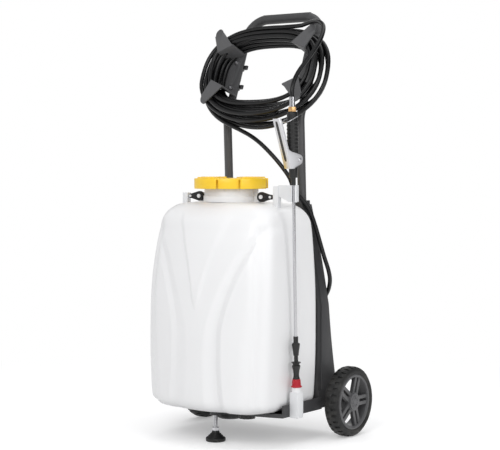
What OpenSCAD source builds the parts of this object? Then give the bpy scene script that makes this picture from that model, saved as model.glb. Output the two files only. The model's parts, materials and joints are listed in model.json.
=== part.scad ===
// Wheeled sprayer cart: a moulded tank on a two-wheeled chassis, with a tube handle that carries
// a coiled spray hose, and a lance that stands in a clip and a rest on the right side.
// Millimetres. Z up, the floor at z = 0, the front of the cart towards -Y, +X its right side
// as seen from in front.

/* [Wheels] */
// Radius of a tyre over its lugs
tyre_r = 89; // [82:1:94]
// Width of a tyre
tyre_w = 40; // [34:1:44]
// Middle of the cart to the outer face of a wheel
wheel_face_x = 251.5; // [248:0.5:262]
// Lugs along each edge of a tyre
lug_count = 32; // [20:2:40]
// Depth of the gaps between the lugs
lug_depth = 4; // [2:0.5:6]
// Width of the gaps between the lugs
lug_gap = 6; // [4:0.5:8]
// Radius at which the tyre sits on the rim
rim_r = 70; // [62:1:72]
// Radius of the hub's barrel
hub_r = 24; // [20:1:28]
// Split spokes in a rim
spoke_count = 5; // [4:1:7]
// Width of one bar of a split spoke
spoke_bar_w = 9; // [6:0.5:11]
// Gap between the two bars of a spoke
spoke_slot_w = 7; // [4:0.5:9]
// Radius of the hub cap
cap_r = 21; // [16:1:22]
// Diameter of the axle
axle_d = 12; // [10:1:16]
// Distance of the axle behind the middle of the cart
axle_y = 126; // [120:1:132]

/* [Tray] */
// Underside of the tray above the floor
tray_z = 75; // [70:1:80]
// Thickness of the tray's floor
tray_floor = 5; // [4:0.5:7]
// Half the width of the tray
tray_half_w = 195; // [190:1:200]
// Height of the tray's side walls above its underside
tray_wall_h = 30; // [20:1:36]
// Thickness of the tray's walls
tray_wall = 4; // [3:0.5:6]
// Most forward point of the tray
tray_front_y = -142; // [-150:1:-136]
// Radius of the tray's bowed front edge
tray_front_r = 650; // [500:10:900]
// Height of the bars that the tank stands on
pad_h = 5; // [3:0.5:8]

/* [Back frame] */
// Front face of the back frame
frame_y = 57; // [57:0.5:60]
// Depth of the uprights at their top
frame_top_depth = 43; // [40:1:48]
// Depth of the uprights at the tray
frame_foot_depth = 93; // [86:1:96]
// Half the width over the uprights at their foot
frame_foot_half_w = 186; // [180:1:188]
// Half the width over the uprights at their top
frame_top_half_w = 134; // [130:1:140]
// Top of the uprights
frame_top_z = 590; // [575:1:595]
// Height above which the uprights lean in
frame_lean_z = 330; // [300:5:360]
// Width of an upright seen from behind
upright_w = 44; // [38:1:48]
// Wall of the uprights
frame_wall = 5; // [4:0.5:6]
// Height of a cross rail
rail_h = 34; // [26:1:40]

/* [Handle] */
// Diameter of the handle tube
tube_d = 22; // [20:0.5:24]
// Wall of the handle tube
tube_wall = 1.5; // [1.2:0.1:2.5]
// Half the distance between the two legs
leg_x = 116.5; // [112:0.5:118]
// Height at which the handle bends back
bend_z = 812; // [790:1:830]
// Place of that bend, front to back
bend_y = 73.5; // [72:0.5:75]
// Angle of the lower legs, forwards
leg_lean = 2.45; // [2:0.05:3]
// Angle of the upper legs, backwards
top_lean = 21.4; // [18:0.2:24]
// Bend to the middle of the top bar, along the upper legs
top_length = 283.5; // [270:0.5:300]
// Radius of the top corners
corner_r = 56; // [48:1:60]
// Radius of the bend
bend_r = 60; // [40:1:80]
// Bottom of the tube inside its sockets
socket_z = 500; // [480:5:520]
// Radius of a socket
socket_r = 20; // [18:0.5:21]
// Thickness of the grip over the top bar
grip_t = 1.6; // [1:0.1:3]

/* [Tank] */
// Underside of the tank above the tray's bars
tank_h = 510; // [500:1:516]
// Half the width of the tank at its widest
tank_half_w = 190; // [186:1:190.5]
// Most forward point of the tank
tank_front_y = -215; // [-220:1:-208]
// Back of the tank
tank_back_y = 57; // [54:0.5:57]
// Set-back of the front at its corners
front_bow = 34; // [20:1:44]
// Radius of the front corners
front_corner_r = 48; // [40:1:60]
// Radius of the back corners
back_corner_r = 40; // [30:1:48]
// Wall of the tank
tank_wall = 3.5; // [3:0.5:5]
// Depth of the moulded grooves
groove_depth = 6; // [4:0.5:8]
// Half the distance between the sweeping grooves at the bottom
sweep_x = 80; // [72:1:88]
// Place of the filler neck, front to back
neck_y = -62; // [-66:1:-58]
// Outer radius of the filler neck
neck_r = 68; // [66:0.5:70]
// Bore radius of the filler neck
neck_bore_r = 54.2; // [52:0.1:55]
// Height of the filler neck above the tank
neck_h = 49.7; // [47:0.1:53]

/* [Lid] */
// Radius of the lid's lobes
lid_r = 96; // [92:1:99]
// Radius of the lid between its lobes
lid_gap_r = 85; // [82:0.5:88]
// Height of the lid's rim
lid_h = 26; // [24:0.5:28]
// Number of lobes
lobe_count = 4; // [3:1:6]
// Width of a lobe, as an angle
lobe_angle = 53; // [44:1:58]
// Height of the pads on the lobes
lid_pad_h = 3.5; // [2:0.5:5]

/* [Front foot] */
// Place of the foot, front to back
foot_y = -128; // [-130:1:-124]
// Radius of the rubber pad
foot_r = 25; // [20:1:28]
// Diameter of the stud
stud_d = 10; // [8:1:12]
// Height of the rubber pad
foot_pad_h = 27; // [22:1:30]

/* [Lance] */
// Place of the lance, left to right
lance_x = 207; // [206:0.5:208]
// Place of the lance at its rest, front to back
lance_y = -72; // [-75:0.5:-69]
// Angle of the lance, forwards
lance_tilt = 1.65; // [1.2:0.05:2]
// Top of the rest's collar
rest_z = 148; // [142:1:152]
// Diameter of the spray tube
spray_tube_d = 8; // [7:0.5:9]
// Height of the clip that holds the lance
clip_h = 40.8; // [36:0.1:44]
// Length of the grip
grip_len = 135; // [125:1:140]
// Turn of the trigger about the lance
lever_turn = 70; // [60:1:80]

/* [Hose] */
// Diameter of the hose
hose_d = 11; // [9:0.5:12]
// Half the width of the coil
coil_half_w = 208; // [200:1:212]
// Lowest edge of the coil below the handle's bend
coil_low = 50; // [40:1:56]
// Top edge of the coil above the handle's bend
coil_high = 248; // [244:1:252]
// Half the width of the coil's hole
coil_hole_half_w = 152; // [149:1:156]
// Lower edge of the coil's hole, above the handle's bend
coil_hole_low = 40; // [36:1:44]
// Upper edge of the coil's hole, above the handle's bend
coil_hole_high = 190; // [187:1:194]
// Front of the coil, from the middle of the tubes
coil_front = 70; // [60:1:72]
// Back of the coil, from the middle of the tubes
coil_back = 20; // [18:1:26]

/* [Hose holders] */
// Middle of a holder above the handle's bend
holder_v = 117.5; // [112:0.5:122]
// Distance of a holder's arms in front of the tube's middle
arm_reach = 77; // [75:1:80]
// Thickness of a holder
holder_t = 4; // [3:0.5:5]
// Length of the turned-out tip of an arm
tip_len = 55; // [45:1:60]

/* [Rear housing] */
// Gap between the rear housing and the uprights
house_gap = 42; // [36:1:46]
// Underside of the rear housing
house_z = 118; // [114:1:124]
// Height of the rear housing
house_h = 190; // [184:1:196]
// Back face of the rear housing
house_back_y = 152; // [150:1:160]
// Wall of the rear housing
house_wall = 3; // [2.5:0.5:4]

/* [Clearances] */
// Gap between parts that move past each other
run_gap = 0.3; // [0.2:0.05:0.5]
// Radial gap of a pin or shaft in its hole
pin_gap = 0.05; // [0.02:0.01:0.1]

/* [Hidden] */
$fn = 72;

frame_grey = [0.27, 0.27, 0.28];
tube_grey = [0.42, 0.42, 0.43];
rubber = [0.07, 0.07, 0.07];
steel = [0.75, 0.76, 0.78];
white_hdpe = [0.94, 0.95, 0.96];

// Heights and places that follow from the sizes above.
axle_r = axle_d / 2;
tube_r = tube_d / 2;
tray_top = tray_z + tray_floor;
tank_z = tray_top + pad_h;
tank_top = tank_z + tank_h;
neck_top_z = tank_top + neck_h;
wheel_in_x = wheel_face_x - tyre_w;
lid_z = neck_top_z + run_gap + 3 + 4 + 5 - lid_h;
clip_low = tank_top + 5;
// Rest's collar to the lower end of the grip: the nut on the tube ends 1 mm above the clip.
tube_nut_h = 42;
grip_from = (clip_low + clip_h + 1 - rest_z) / cos(lance_tilt) + tube_nut_h;
house_half_w = frame_foot_half_w - upright_w - house_gap;

// Places of the pump, its pipes and the controls.
sump_y = -68;
sump_neck_r = 16;
sump_r = 45;
sump_h = 24;
drain_x = 80;
drain_y = -104;
drain_r = 21;
pipe_z = tray_z - 9;
pipe_r = 7;
pipe_x = 0;
pipe_up_y = 98;
pump_z = house_z + 36;
outlet_x = house_half_w + 18;
outlet_top = pump_z + 46;
house_front_y = frame_y + 2;
control_z = house_z + 38;
switch_x = -55;
knob_x = 55;
socket_x = 0;

// --- Building blocks -------------------------------------------------------------------------

// Cylinder along X from x0 to x1.
module rod_x(r, x0, x1) {
    translate([x0, 0, 0])
        rotate([0, 90, 0])
            cylinder(r = r, h = x1 - x0);
}

// Cylinder along Y from y0 to y1.
module rod_y(r, y0, y1) {
    translate([0, y0, 0])
        rotate([-90, 0, 0])
            cylinder(r = r, h = y1 - y0);
}

// Plane outline in X and Z, given a thickness from y0 to y1.
module slab_y(y0, y1) {
    translate([0, y1, 0])
        rotate([90, 0, 0])
            linear_extrude(y1 - y0)
                children();
}

// Plane outline in Y and Z, given a thickness from x0 to x1.
module slab_x(x0, x1) {
    translate([x0, 0, 0])
        rotate([90, 0, 90])
            linear_extrude(x1 - x0)
                children();
}

// Box between two corners.
module block(a, b) {
    translate(a)
        cube(b - a);
}

// The same shape on both sides of the cart.
module both_sides() {
    children();
    mirror([1, 0, 0])
        children();
}

// Ring between two radii.
module ring(r_in, r_out, h) {
    difference() {
        cylinder(r = r_out, h = h);
        translate([0, 0, -1])
            cylinder(r = r_in, h = h + 2);
    }
}

// Flat outline with half-round ends along X.
module stadium(w, d) {
    square([w - d, d], center = true);
    for (x = [-1, 1])
        translate([x * (w - d) / 2, 0])
            circle(d = d);
}

// --- Wheels ----------------------------------------------------------------------------------

// Places a wheel's part: its local z runs outwards along the axle, from the inner face.
module at_wheel(side) {
    translate([side * wheel_in_x, axle_y, tyre_r])
        rotate([0, side * 90, 0])
            children();
}

module tyre() {
    shoulder = 8;
    difference() {
        rotate_extrude($fn = 96)
            polygon([[rim_r, 3], [rim_r + 6, 0], [tyre_r - shoulder, 0], [tyre_r - 2, 5],
                [tyre_r, 12], [tyre_r, tyre_w - 12], [tyre_r - 2, tyre_w - 5],
                [tyre_r - shoulder, tyre_w], [rim_r + 6, tyre_w], [rim_r, tyre_w - 3]]);
        for (edge = [0, 1], i = [0:lug_count - 1])
            rotate([0, 0, (i + edge / 2) * 360 / lug_count])
                translate([tyre_r - lug_depth, -lug_gap / 2, edge * tyre_w * 0.6 - 1])
                    cube([lug_depth + 2, lug_gap, tyre_w * 0.4 + 1]);
    }
}

module spoke_outline() {
    reach = rim_r - 6;
    for (i = [0:spoke_count - 1])
        rotate(90 + i * 360 / spoke_count)
            for (s = [-1, 1])
                translate([hub_r - 4, s * (spoke_bar_w + spoke_slot_w) / 2 - spoke_bar_w / 2])
                    square([reach - hub_r + 4, spoke_bar_w]);
}

module rim() {
    difference() {
        union() {
            rotate_extrude()
                polygon([[rim_r - 7, 2], [rim_r, 3], [rim_r, tyre_w - 3], [rim_r - 7, tyre_w - 2]]);
            translate([0, 0, tyre_w - 14])
                linear_extrude(9)
                    spoke_outline();
            translate([0, 0, 1])
                cylinder(r = hub_r, h = tyre_w - 5);
        }
        translate([0, 0, -1])
            cylinder(r = axle_r + pin_gap, h = tyre_w + 2);
        translate([0, 0, tyre_w - 14])
            cylinder(r = cap_r - 4, h = 20);
    }
}

// Domed cap with a generic ribbed face; its plug fills the hub's recess.
module hub_cap() {
    translate([0, 0, tyre_w - 4])
        difference() {
            union() {
                cylinder(r = cap_r, h = 3);
                rotate_extrude()
                    polygon([[0, 0], [cap_r - 3, 0], [cap_r - 3, 3], [cap_r - 7, 4], [0, 4]]);
                translate([0, 0, -3])
                    ring(cap_r - 7, cap_r - 4 - pin_gap, 4);
            }
            for (i = [0:9])
                rotate([0, 0, i * 36])
                    translate([7, -1, 3])
                        cube([cap_r - 14, 2, 3]);
        }
}

module left_tyre() { color(rubber) at_wheel(-1) tyre(); }
module right_tyre() { color(rubber) at_wheel(1) tyre(); }
module left_rim() { color(tube_grey) at_wheel(-1) rim(); }
module right_rim() { color(tube_grey) at_wheel(1) rim(); }
module left_hub_cap() { color(frame_grey) at_wheel(-1) hub_cap(); }
module right_hub_cap() { color(frame_grey) at_wheel(1) hub_cap(); }

axle_end_x = wheel_face_x - 10;

// Axle with a collar on each side, between the frame's boss and the wheel.
module axle() {
    color(steel)
        translate([0, axle_y, tyre_r]) {
            rod_x(axle_r, -axle_end_x, axle_end_x);
            rod_x(axle_r + 5, boss_x, wheel_in_x + 1 - run_gap);
            rod_x(axle_r + 5, -wheel_in_x - 1 + run_gap, -boss_x);
        }
}

// Push-on clips that keep the wheels on the axle, in the hub's recess.
module axle_clips() {
    color(steel)
        for (side = [-1, 1])
            at_wheel(side)
                translate([0, 0, tyre_w - 14 + run_gap])
                    ring(axle_r, axle_r + 6, 1.5);
}

// --- Tray and back frame ---------------------------------------------------------------------

boss_x = max(frame_foot_half_w + 1, wheel_in_x - 7.5);
boss_r = axle_r + 8;

module tray_outline(inset) {
    intersection() {
        translate([-tray_half_w + inset, tray_front_y + inset])
            square([2 * (tray_half_w - inset), frame_y - tray_front_y - inset]);
        translate([0, tray_front_y + tray_front_r])
            circle(r = tray_front_r - inset, $fn = 120);
    }
}

module base_tray() {
    color(frame_grey)
        difference() {
            union() {
                translate([0, 0, tray_z])
                    linear_extrude(tray_floor)
                        tray_outline(0);
                block([-frame_foot_half_w, frame_y - 1, tray_z],
                    [frame_foot_half_w, frame_y + frame_foot_depth, tray_top]);
                // Low wall under the tank's front, up to the tank's underside.
                translate([0, 0, tray_top])
                    linear_extrude(pad_h)
                        difference() {
                            tray_outline(0);
                            tray_outline(tray_wall);
                        }
                // Side walls beside the tank.
                both_sides()
                    block([tray_half_w - tray_wall, tray_side_front_y, tray_top],
                        [tray_half_w, frame_y, tray_z + tray_wall_h]);
                // Bars that the tank stands on.
                for (x = [-130, -60, 60, 130])
                    block([x - 4, tray_front_y + 30, tray_top - 1], [x + 4, frame_y - 8, tank_z]);
                // Boss round the foot's stud, and skirts round the sump and the drain.
                translate([0, foot_y, tray_z - 8])
                    cylinder(r = 14, h = 9);
            }
            translate([0, foot_y, 0])
                cylinder(r = stud_d / 2 + pin_gap, h = 200);
            translate([0, sump_y, 0])
                cylinder(r = sump_neck_r + run_gap, h = 200);
            translate([drain_x, drain_y, 0])
                cylinder(r = drain_r - 6 + run_gap, h = 200);
            translate([pipe_x, pipe_up_y, 0])
                cylinder(r = pipe_r + run_gap, h = 200);
            // Notches for the bosses of the axle.
            both_sides()
                translate([0, axle_y, tyre_r])
                    rod_x(boss_r + pin_gap, frame_foot_half_w - frame_wall - run_gap, boss_x + 1);
        }
}

tray_side_front_y = tray_front_y + tray_front_r - sqrt(pow(tray_front_r, 2) - pow(tray_half_w, 2)) + 2;

// Half the width over the uprights at a height.
function frame_half_w(z) = frame_top_half_w + (frame_foot_half_w - frame_top_half_w)
    * (1 - pow(max(0, z - frame_lean_z) / (frame_top_z - frame_lean_z), 1.25));

// Back of the uprights at a height: they deepen towards the axle.
frame_taper_z = 390;
function frame_back_y(z) = frame_y + frame_top_depth + (frame_foot_depth - frame_top_depth)
    * pow(max(0, frame_taper_z - z) / (frame_taper_z - tray_top), 1.6);

frame_steps = 14;
function heights(lo, hi) = [for (i = [0:frame_steps]) lo + (hi - lo) * i / frame_steps];

// Outline of one upright between two heights, drawn in by an inset.
module upright_outline(lo, hi, inset) {
    zs = heights(lo, hi);
    polygon(concat([for (z = zs) [frame_half_w(z) - inset, z]],
        [for (i = [frame_steps:-1:0]) [frame_half_w(zs[i]) - upright_w + inset, zs[i]]]));
}

module side_profile() {
    zs = heights(tray_top, frame_top_z);
    polygon(concat([[frame_y, frame_top_z], [frame_y, tray_top]],
        [for (z = zs) [frame_back_y(z), z]]));
}

rail_zs = [tray_top, frame_lean_z - 10, frame_top_z - rail_h];

module back_frame() {
    color(frame_grey)
        difference() {
            union() {
                difference() {
                    intersection() {
                        slab_y(frame_y, frame_y + frame_foot_depth + 1)
                            union() {
                                both_sides()
                                    upright_outline(tray_top, frame_top_z, 0);
                                for (z = rail_zs)
                                    translate([-rail_half_w(z), z])
                                        square([2 * rail_half_w(z), rail_h]);
                            }
                        slab_x(-frame_foot_half_w - 1, frame_foot_half_w + 1)
                            side_profile();
                    }
                    // The uprights and rails are open channels seen from behind.
                    slab_y(frame_y + frame_wall, frame_y + frame_foot_depth + 2)
                        both_sides() {
                            upright_outline(tray_top + frame_wall, frame_lean_z - 15, frame_wall);
                            upright_outline(frame_lean_z + rail_h - 10, frame_top_z - frame_wall,
                                frame_wall);
                        }
                    for (z = rail_zs)
                        block([-rail_half_w(z) + frame_wall, frame_y + frame_wall, z + frame_wall],
                            [rail_half_w(z) - frame_wall, 400, z + rail_h - frame_wall]);
                    // Groove down the front edge of each side.
                    both_sides()
                        slab_y(frame_y - 1, frame_y + 14)
                            difference() {
                                upright_outline(tray_top + 40, frame_top_z - 40, -1);
                                upright_outline(tray_top + 40, frame_top_z - 40, 3);
                            }
                }
                both_sides() {
                    at_leg()
                        translate([0, 0, -leg_length - 10])
                            cylinder(r = socket_r, h = leg_length + 10 - (bend_z - frame_top_z) + 9);
                    translate([0, axle_y, tyre_r])
                        rod_x(boss_r, frame_foot_half_w - frame_wall, boss_x);
                    for (x = [60, 135])
                        slab_x(x - 2.5, x + 2.5)
                            polygon([[frame_y, tray_top], [frame_y + frame_foot_depth - 4, tray_top],
                                [frame_y + frame_foot_depth - 10, tyre_r + 22], [frame_y, tyre_r + 22]]);
                }
            }
            translate([0, axle_y, tyre_r])
                rod_x(axle_r + pin_gap, -300, 300);
            both_sides()
                at_leg()
                    translate([0, 0, -leg_length]) {
                        cylinder(r = tube_r + pin_gap, h = leg_length + 1);
                        translate([0, 0, bolt_up]) {
                            rod_y(bolt_r + pin_gap, -60, 60);
                            block([-9, socket_r - 1.5, -9], [9, socket_r + 20, 9]);
                        }
                    }
            translate([pipe_x, pipe_up_y, 0])
                cylinder(r = pipe_r + run_gap, h = house_z + 1);
        }
}

function rail_half_w(z) = frame_half_w(z + rail_h) - upright_w / 2;

bolt_r = 3;
bolt_up = 22;

// Bolts through the sockets and the tube's ends, with their heads at the back.
module socket_bolts() {
    color(steel)
        both_sides()
            at_leg()
                translate([0, 0, -leg_length + bolt_up]) {
                    rod_y(bolt_r, -socket_r + 4, socket_r - 1);
                    rod_y(6, socket_r - 1.5, socket_r + 3);
                }
}

// --- Handle ----------------------------------------------------------------------------------

// Front-to-back place of a lower leg at a height.
function leg_y(z) = bend_y + (bend_z - z) * tan(leg_lean);
leg_length = (bend_z - socket_z) / cos(leg_lean);
bend_angle = top_lean + leg_lean;
bend_back = bend_r * tan(bend_angle / 2);

// Frame of a lower leg: origin at the bend, z up along the leg.
module at_leg() {
    translate([leg_x, bend_y, bend_z])
        rotate([leg_lean, 0, 0])
            children();
}

// Frame of the leaning part: origin between the bends, z up along it, -y forwards.
module at_top() {
    translate([0, bend_y, bend_z])
        rotate([-top_lean, 0, 0])
            children();
}

// Flat ring: the section of a tube.
module section(r_out, r_in) {
    difference() {
        circle(r = r_out);
        circle(r = r_in);
    }
}

// A leg, from its socket to the bend.
module handle_leg() {
    at_leg()
        difference() {
            translate([0, 0, -leg_length])
                ring(tube_r - tube_wall, tube_r, leg_length - bend_back);
            translate([0, 0, -leg_length + bolt_up])
                rod_y(bolt_r + pin_gap, -30, 30);
        }
}

// The bent stretches between the legs and the leaning part.
module handle_bends() {
    color(tube_grey)
        both_sides()
            at_leg()
                translate([0, bend_r, -bend_back])
                    rotate([90, 0, -90])
                        rotate_extrude(angle = bend_angle)
                            translate([bend_r, 0])
                                section(tube_r, tube_r - tube_wall);
}

module handle_leg_right() { color(tube_grey) handle_leg(); }
module handle_leg_left() { color(tube_grey) mirror([1, 0, 0]) handle_leg(); }

// The bar across the top with its corners, and a length of the sides below them.
module top_path(r_out, r_in, side) {
    at_top()
        translate([0, 0, top_length]) {
            both_sides() {
                if (side > 0)
                    translate([leg_x, 0, -corner_r - side])
                        linear_extrude(side)
                            section(r_out, r_in);
                translate([leg_x - corner_r, 0, -corner_r])
                    rotate([90, 0, 0])
                        rotate_extrude(angle = 90)
                            translate([corner_r, 0])
                                section(r_out, r_in);
            }
            translate([-leg_x + corner_r, 0, 0])
                rotate([0, 90, 0])
                    linear_extrude(2 * (leg_x - corner_r))
                        section(r_out, r_in);
        }
}

module handle_top() {
    color(tube_grey)
        top_path(tube_r, tube_r - tube_wall, top_length - corner_r - bend_back);
}

module grip_sleeve() {
    color(frame_grey)
        top_path(tube_r + pin_gap + grip_t, tube_r + pin_gap, 0);
}

// --- Hose holders ----------------------------------------------------------------------------

plate_out = 24.5;
plate_in = 21.5;
plate_front = tube_r + holder_t;
side_short = 42;
side_long = 62;
fold_angle = atan((side_long - side_short) / (plate_out + plate_in));
tip_w = 22;

// A holder's plate lies on the front of the right tube, with its short side outwards.
module holder_plate_outline() {
    polygon([[plate_out, -side_short], [plate_out, side_short], [-plate_in, side_long],
        [-plate_in, -side_long]]);
}

// One arm: forwards from the plate's slanted edge, then turned out towards the corner.
module holder_arm() {
    w = (plate_out + plate_in) / cos(fold_angle) - 1.2;
    translate([-plate_in, 0, side_long])
        rotate([0, fold_angle, 0])
            translate([0.6, 0, -0.4]) {
                translate([0, -arm_reach + 0.3, -holder_t])
                    cube([w, arm_reach - tube_r - 1.8, holder_t]);
                translate([w / 2, -arm_reach + holder_t, 0])
                    rotate([90, 0, 0])
                        linear_extrude(holder_t) {
                            polygon([[-w / 2 + 1, -holder_t + 1], [w / 2 - 1, -holder_t + 1],
                                [w / 2 + 12, tip_len - 12], [w / 2 - tip_w + 9, tip_len - 8]]);
                            translate([w / 2 + 10 - tip_w / 2, tip_len - 9])
                                circle(r = tip_w / 2);
                        }
            }
}

module holder() {
    translate([leg_x, 0, holder_v])
        difference() {
            union() {
                slab_y(-plate_front, -tube_r)
                    holder_plate_outline();
                holder_arm();
                mirror([0, 0, 1])
                    holder_arm();
                // Saddle that seats on the tube.
                block([-15, -tube_r - 0.5, -side_short], [15, -4, side_short]);
            }
            translate([0, 0, -100])
                cylinder(r = tube_r + pin_gap, h = 200);
            for (z = [-1, 1])
                translate([0, 0, z * screw_v])
                    rod_y(2.6, -plate_front - 1, 0);
        }
}

screw_v = 36;

module holder_right() { color(frame_grey) at_top() holder(); }
module holder_left() { color(frame_grey) mirror([1, 0, 0]) at_top() holder(); }

// Straps behind the tubes, with a rounded nub on the inner side.
module holder_clamps() {
    color(frame_grey)
        both_sides()
            at_top()
                translate([leg_x, 0, holder_v])
                    for (z = [-1, 1])
                        translate([0, 0, z * (screw_v - 8) - 5])
                            difference() {
                                union() {
                                    cylinder(r = tube_r + 3, h = 10);
                                    translate([-tube_r - 12, -4 + run_gap, 0])
                                        cube([14, 8, 10]);
                                    translate([-tube_r - 12, run_gap, 0])
                                        cylinder(r = 4, h = 10);
                                }
                                translate([0, 0, -1])
                                    cylinder(r = tube_r + pin_gap, h = 12);
                                translate([-40, -44, -1])
                                    cube([80, 40, 12]);
                            }
}

module holder_screws() {
    color(steel)
        both_sides()
            at_top()
                for (z = [-1, 1])
                    translate([leg_x, 0, holder_v + z * screw_v])
                        difference() {
                            union() {
                                rod_y(6, -plate_front - 4, -plate_front);
                                rod_y(2.5, -plate_front - 1, -tube_r - 0.3);
                            }
                            translate([0, -plate_front - 2, 0])
                                rotate([90, 0, 0])
                                    cylinder(r = 3, h = 4, $fn = 6);
                        }
}

// --- Tank ------------------------------------------------------------------------------------

// Side of the tank: half its width at a height.
tank_side = [[85, -16], [120, -14], [200, -4], [290, 0], [380, -1], [450, -6], [510, -14],
    [540, -20], [600, -30]];
// Front of the tank: how far it stands back at a height.
tank_lean = [[85, 2], [130, 0], [250, 1], [350, 6], [430, 14], [500, 26], [540, 36], [600, 46]];
bottom_r = 26;
shoulder_h = 58;
shoulder_w = 56;
front_share = 0.6;
front_cols = 42;
corner_cols = 6;
rear_cols = 4;
side_cols = 3;
back_cols = 6;

function tank_w(z) = tank_half_w + lookup(z - tank_z + 85, tank_side);
function tank_f(z) = tank_front_y + lookup(z - tank_z + 85, tank_lean);

// Middle of the sweeping groove at a height: upright low down, then out towards the corner.
function sweep_at(z) = sweep_x + 70 * pow(max(0, z - 180) / 340, 2.6);
corner_groove_back = 24;

// Depth of the moulded grooves at a place on the front.
function dent(x, z) =
    let (ax = abs(x), s = sweep_at(z), c = tank_w(z) - corner_groove_back,
        fade = max(0, min(1, (540 - z) / 60)),
        narrow = exp(-pow((ax - s) / 8, 2)),
        wide = exp(-pow((ax - s) / 30, 2)) * max(0, min(1, (420 - z) / 300)),
        edge = exp(-pow((ax - c) / 9, 2)))
    fade * groove_depth * max(narrow + wide, edge);

// Outline of the tank at a height, drawn in all round by an inset, less so at front and back.
function tank_ring(z, inset, dented, share) =
    let (w = tank_w(z) - inset, f = tank_f(z) + inset * share, b = tank_back_y - inset * share,
        rf = front_corner_r, rb = back_corner_r,
        bow = front_bow * w / tank_half_w,
        slope = atan(2 * bow * (w - 0.7 * rf) / (w * w)),
        xe = w - rf + rf * sin(slope),
        ye = f + bow * pow(xe / w, 2),
        yc = ye + rf * cos(slope),
        front = [for (i = [-front_cols / 2 : front_cols / 2])
            let (x = 2 * xe * i / front_cols) [x, f + bow * pow(x / w, 2) + dented * dent(x, z)]],
        corner = [for (i = [1:corner_cols])
            let (a = slope - 90 + (90 - slope) * i / corner_cols, x = w - rf + rf * cos(a),
                d = dented * dent(x, z))
            [x - d * cos(a), yc + rf * sin(a) - d * sin(a)]],
        side = [for (i = [1:side_cols]) [w, yc + (b - rb - yc) * i / side_cols]],
        rear = [for (i = [1:rear_cols]) let (a = 90 * i / rear_cols)
            [w - rb + rb * cos(a), b - rb + rb * sin(a)]],
        half = concat(corner, side, rear),
        n = len(half))
    concat(front, half,
        [for (i = [1:back_cols - 1]) [(w - rb) * (1 - 2 * i / back_cols), b]],
        [for (i = [n - 1:-1:0]) [-half[i][0], half[i][1]]]);

neck_hole_r = 60;
sump_hole_r = 17.5;

// A ring part of the way from an outline to a round hole in the middle of it.
function toward(outline, centre, r, t, z) =
    [for (p = outline) let (d = p - centre, u = r / norm(d))
        concat(centre + d * (1 - t + t * u), [z])];

function lift(outline, z) = [for (p = outline) [p[0], p[1], z]];

body_zs = [111, 140, 175, 210, 245, 280, 315, 345, 375, 405, 435, 465, 495, 518];

// The tank's surface as a stack of rings, from the outlet's hole round to the neck's hole. The
// inner surface is the same stack, moved in by the wall.
function tank_rings(wall) =
    let (sh = tank_top - shoulder_h, dz = tank_z - 85, rb = bottom_r - wall,
        hh = shoulder_h - wall, hw = shoulder_w - wall,
        low = [for (a = [0:30:60]) let (z = tank_z + wall + rb * (1 - cos(a)))
            lift(tank_ring(z, wall + rb * (1 - sin(a)), 1, 1), z)],
        body = [for (z = body_zs) lift(tank_ring(z + dz, wall, 1, 1), z + dz)],
        top = [for (a = [0, 20, 40, 60, 75, 90]) let (z = sh + hh * sin(a), k = 1 - cos(a))
            lift(tank_ring(z, wall + hw * k, 1, 1 - (1 - front_share) * k), z)],
        rim = tank_ring(tank_top - wall, shoulder_w, 0, front_share),
        base = tank_ring(tank_z + wall, bottom_r, 1, 1))
    concat([toward(base, [0, sump_y], sump_hole_r, 1, tank_z + wall)], low, body, top,
        [toward(rim, [0, neck_y], neck_hole_r, 0.6, tank_top + 3 - wall),
        toward(rim, [0, neck_y], neck_hole_r, 1, tank_top + 3 - wall)]);

// Skins a stack of rings; flip turns the faces round.
function skin(count, n, start, flip) =
    [for (k = [0:count - 2], i = [0:n - 1])
        let (a = start + k * n + i, b = start + k * n + (i + 1) % n, q = [a, b, b + n, a + n])
        each (flip ? [[q[2], q[1], q[0]], [q[3], q[2], q[0]]] : [[q[0], q[1], q[2]], [q[0], q[2], q[3]]])];

module tank() {
    outer = tank_rings(0);
    inner = tank_rings(tank_wall);
    n = len(outer[0]);
    rows = len(outer);
    base = rows * n;
    color(white_hdpe)
        polyhedron(
            points = concat([for (r = outer, p = r) p], [for (r = inner, p = r) p]),
            faces = concat(
                [for (f = skin(rows, n, 0, false)) [f[2], f[1], f[0]]],
                [for (f = skin(rows, n, base, true)) [f[2], f[1], f[0]]],
                [for (i = [0:n - 1])
                    let (a = i, b = (i + 1) % n, c = base + a, d = base + b)
                    each [[a, b, d], [a, d, c]]],
                [for (i = [0:n - 1])
                    let (a = (rows - 1) * n + i, b = (rows - 1) * n + (i + 1) % n,
                        c = base + a, d = base + b)
                    each [[b, a, c], [b, c, d]]]));
}

post_x = 143;
post_y = -67;
ledge_z = neck_top_z - 6.7;
peg_x = post_x - 17;
strap_z = tank_top + 16;
top_flat_z = tank_top + 3;

// Lug on the tank's shoulder, with a peg for the strap.
module tank_lug(top) {
    block([post_x - 8, post_y - 4.5, tank_top - 14], [post_x + 8, post_y + 8.5, top]);
    block([peg_x - 6, post_y + 4.5, strap_z - 6], [post_x - 7, post_y + 8.5, strap_z + 6]);
    translate([peg_x, 0, strap_z])
        rod_y(3, post_y - 6, post_y + 5);
}

module tank_lugs() {
    color(white_hdpe) {
        tank_lug(tank_top + 43);
        mirror([1, 0, 0])
            tank_lug(tank_top + 24);
    }
}

// Filler neck: a plug in the tank's hole, a wall and a ledge for the strainer.
module tank_neck() {
    color(white_hdpe)
        translate([0, neck_y, 0])
            rotate_extrude()
                polygon([[neck_bore_r, tank_top - 6], [neck_hole_r - 2.2, tank_top - 6],
                    [neck_hole_r - 2.2, top_flat_z], [neck_r, top_flat_z], [neck_r, neck_top_z],
                    [neck_bore_r + 3, neck_top_z], [neck_bore_r + 3, ledge_z], [neck_bore_r, ledge_z]]);
}

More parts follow.
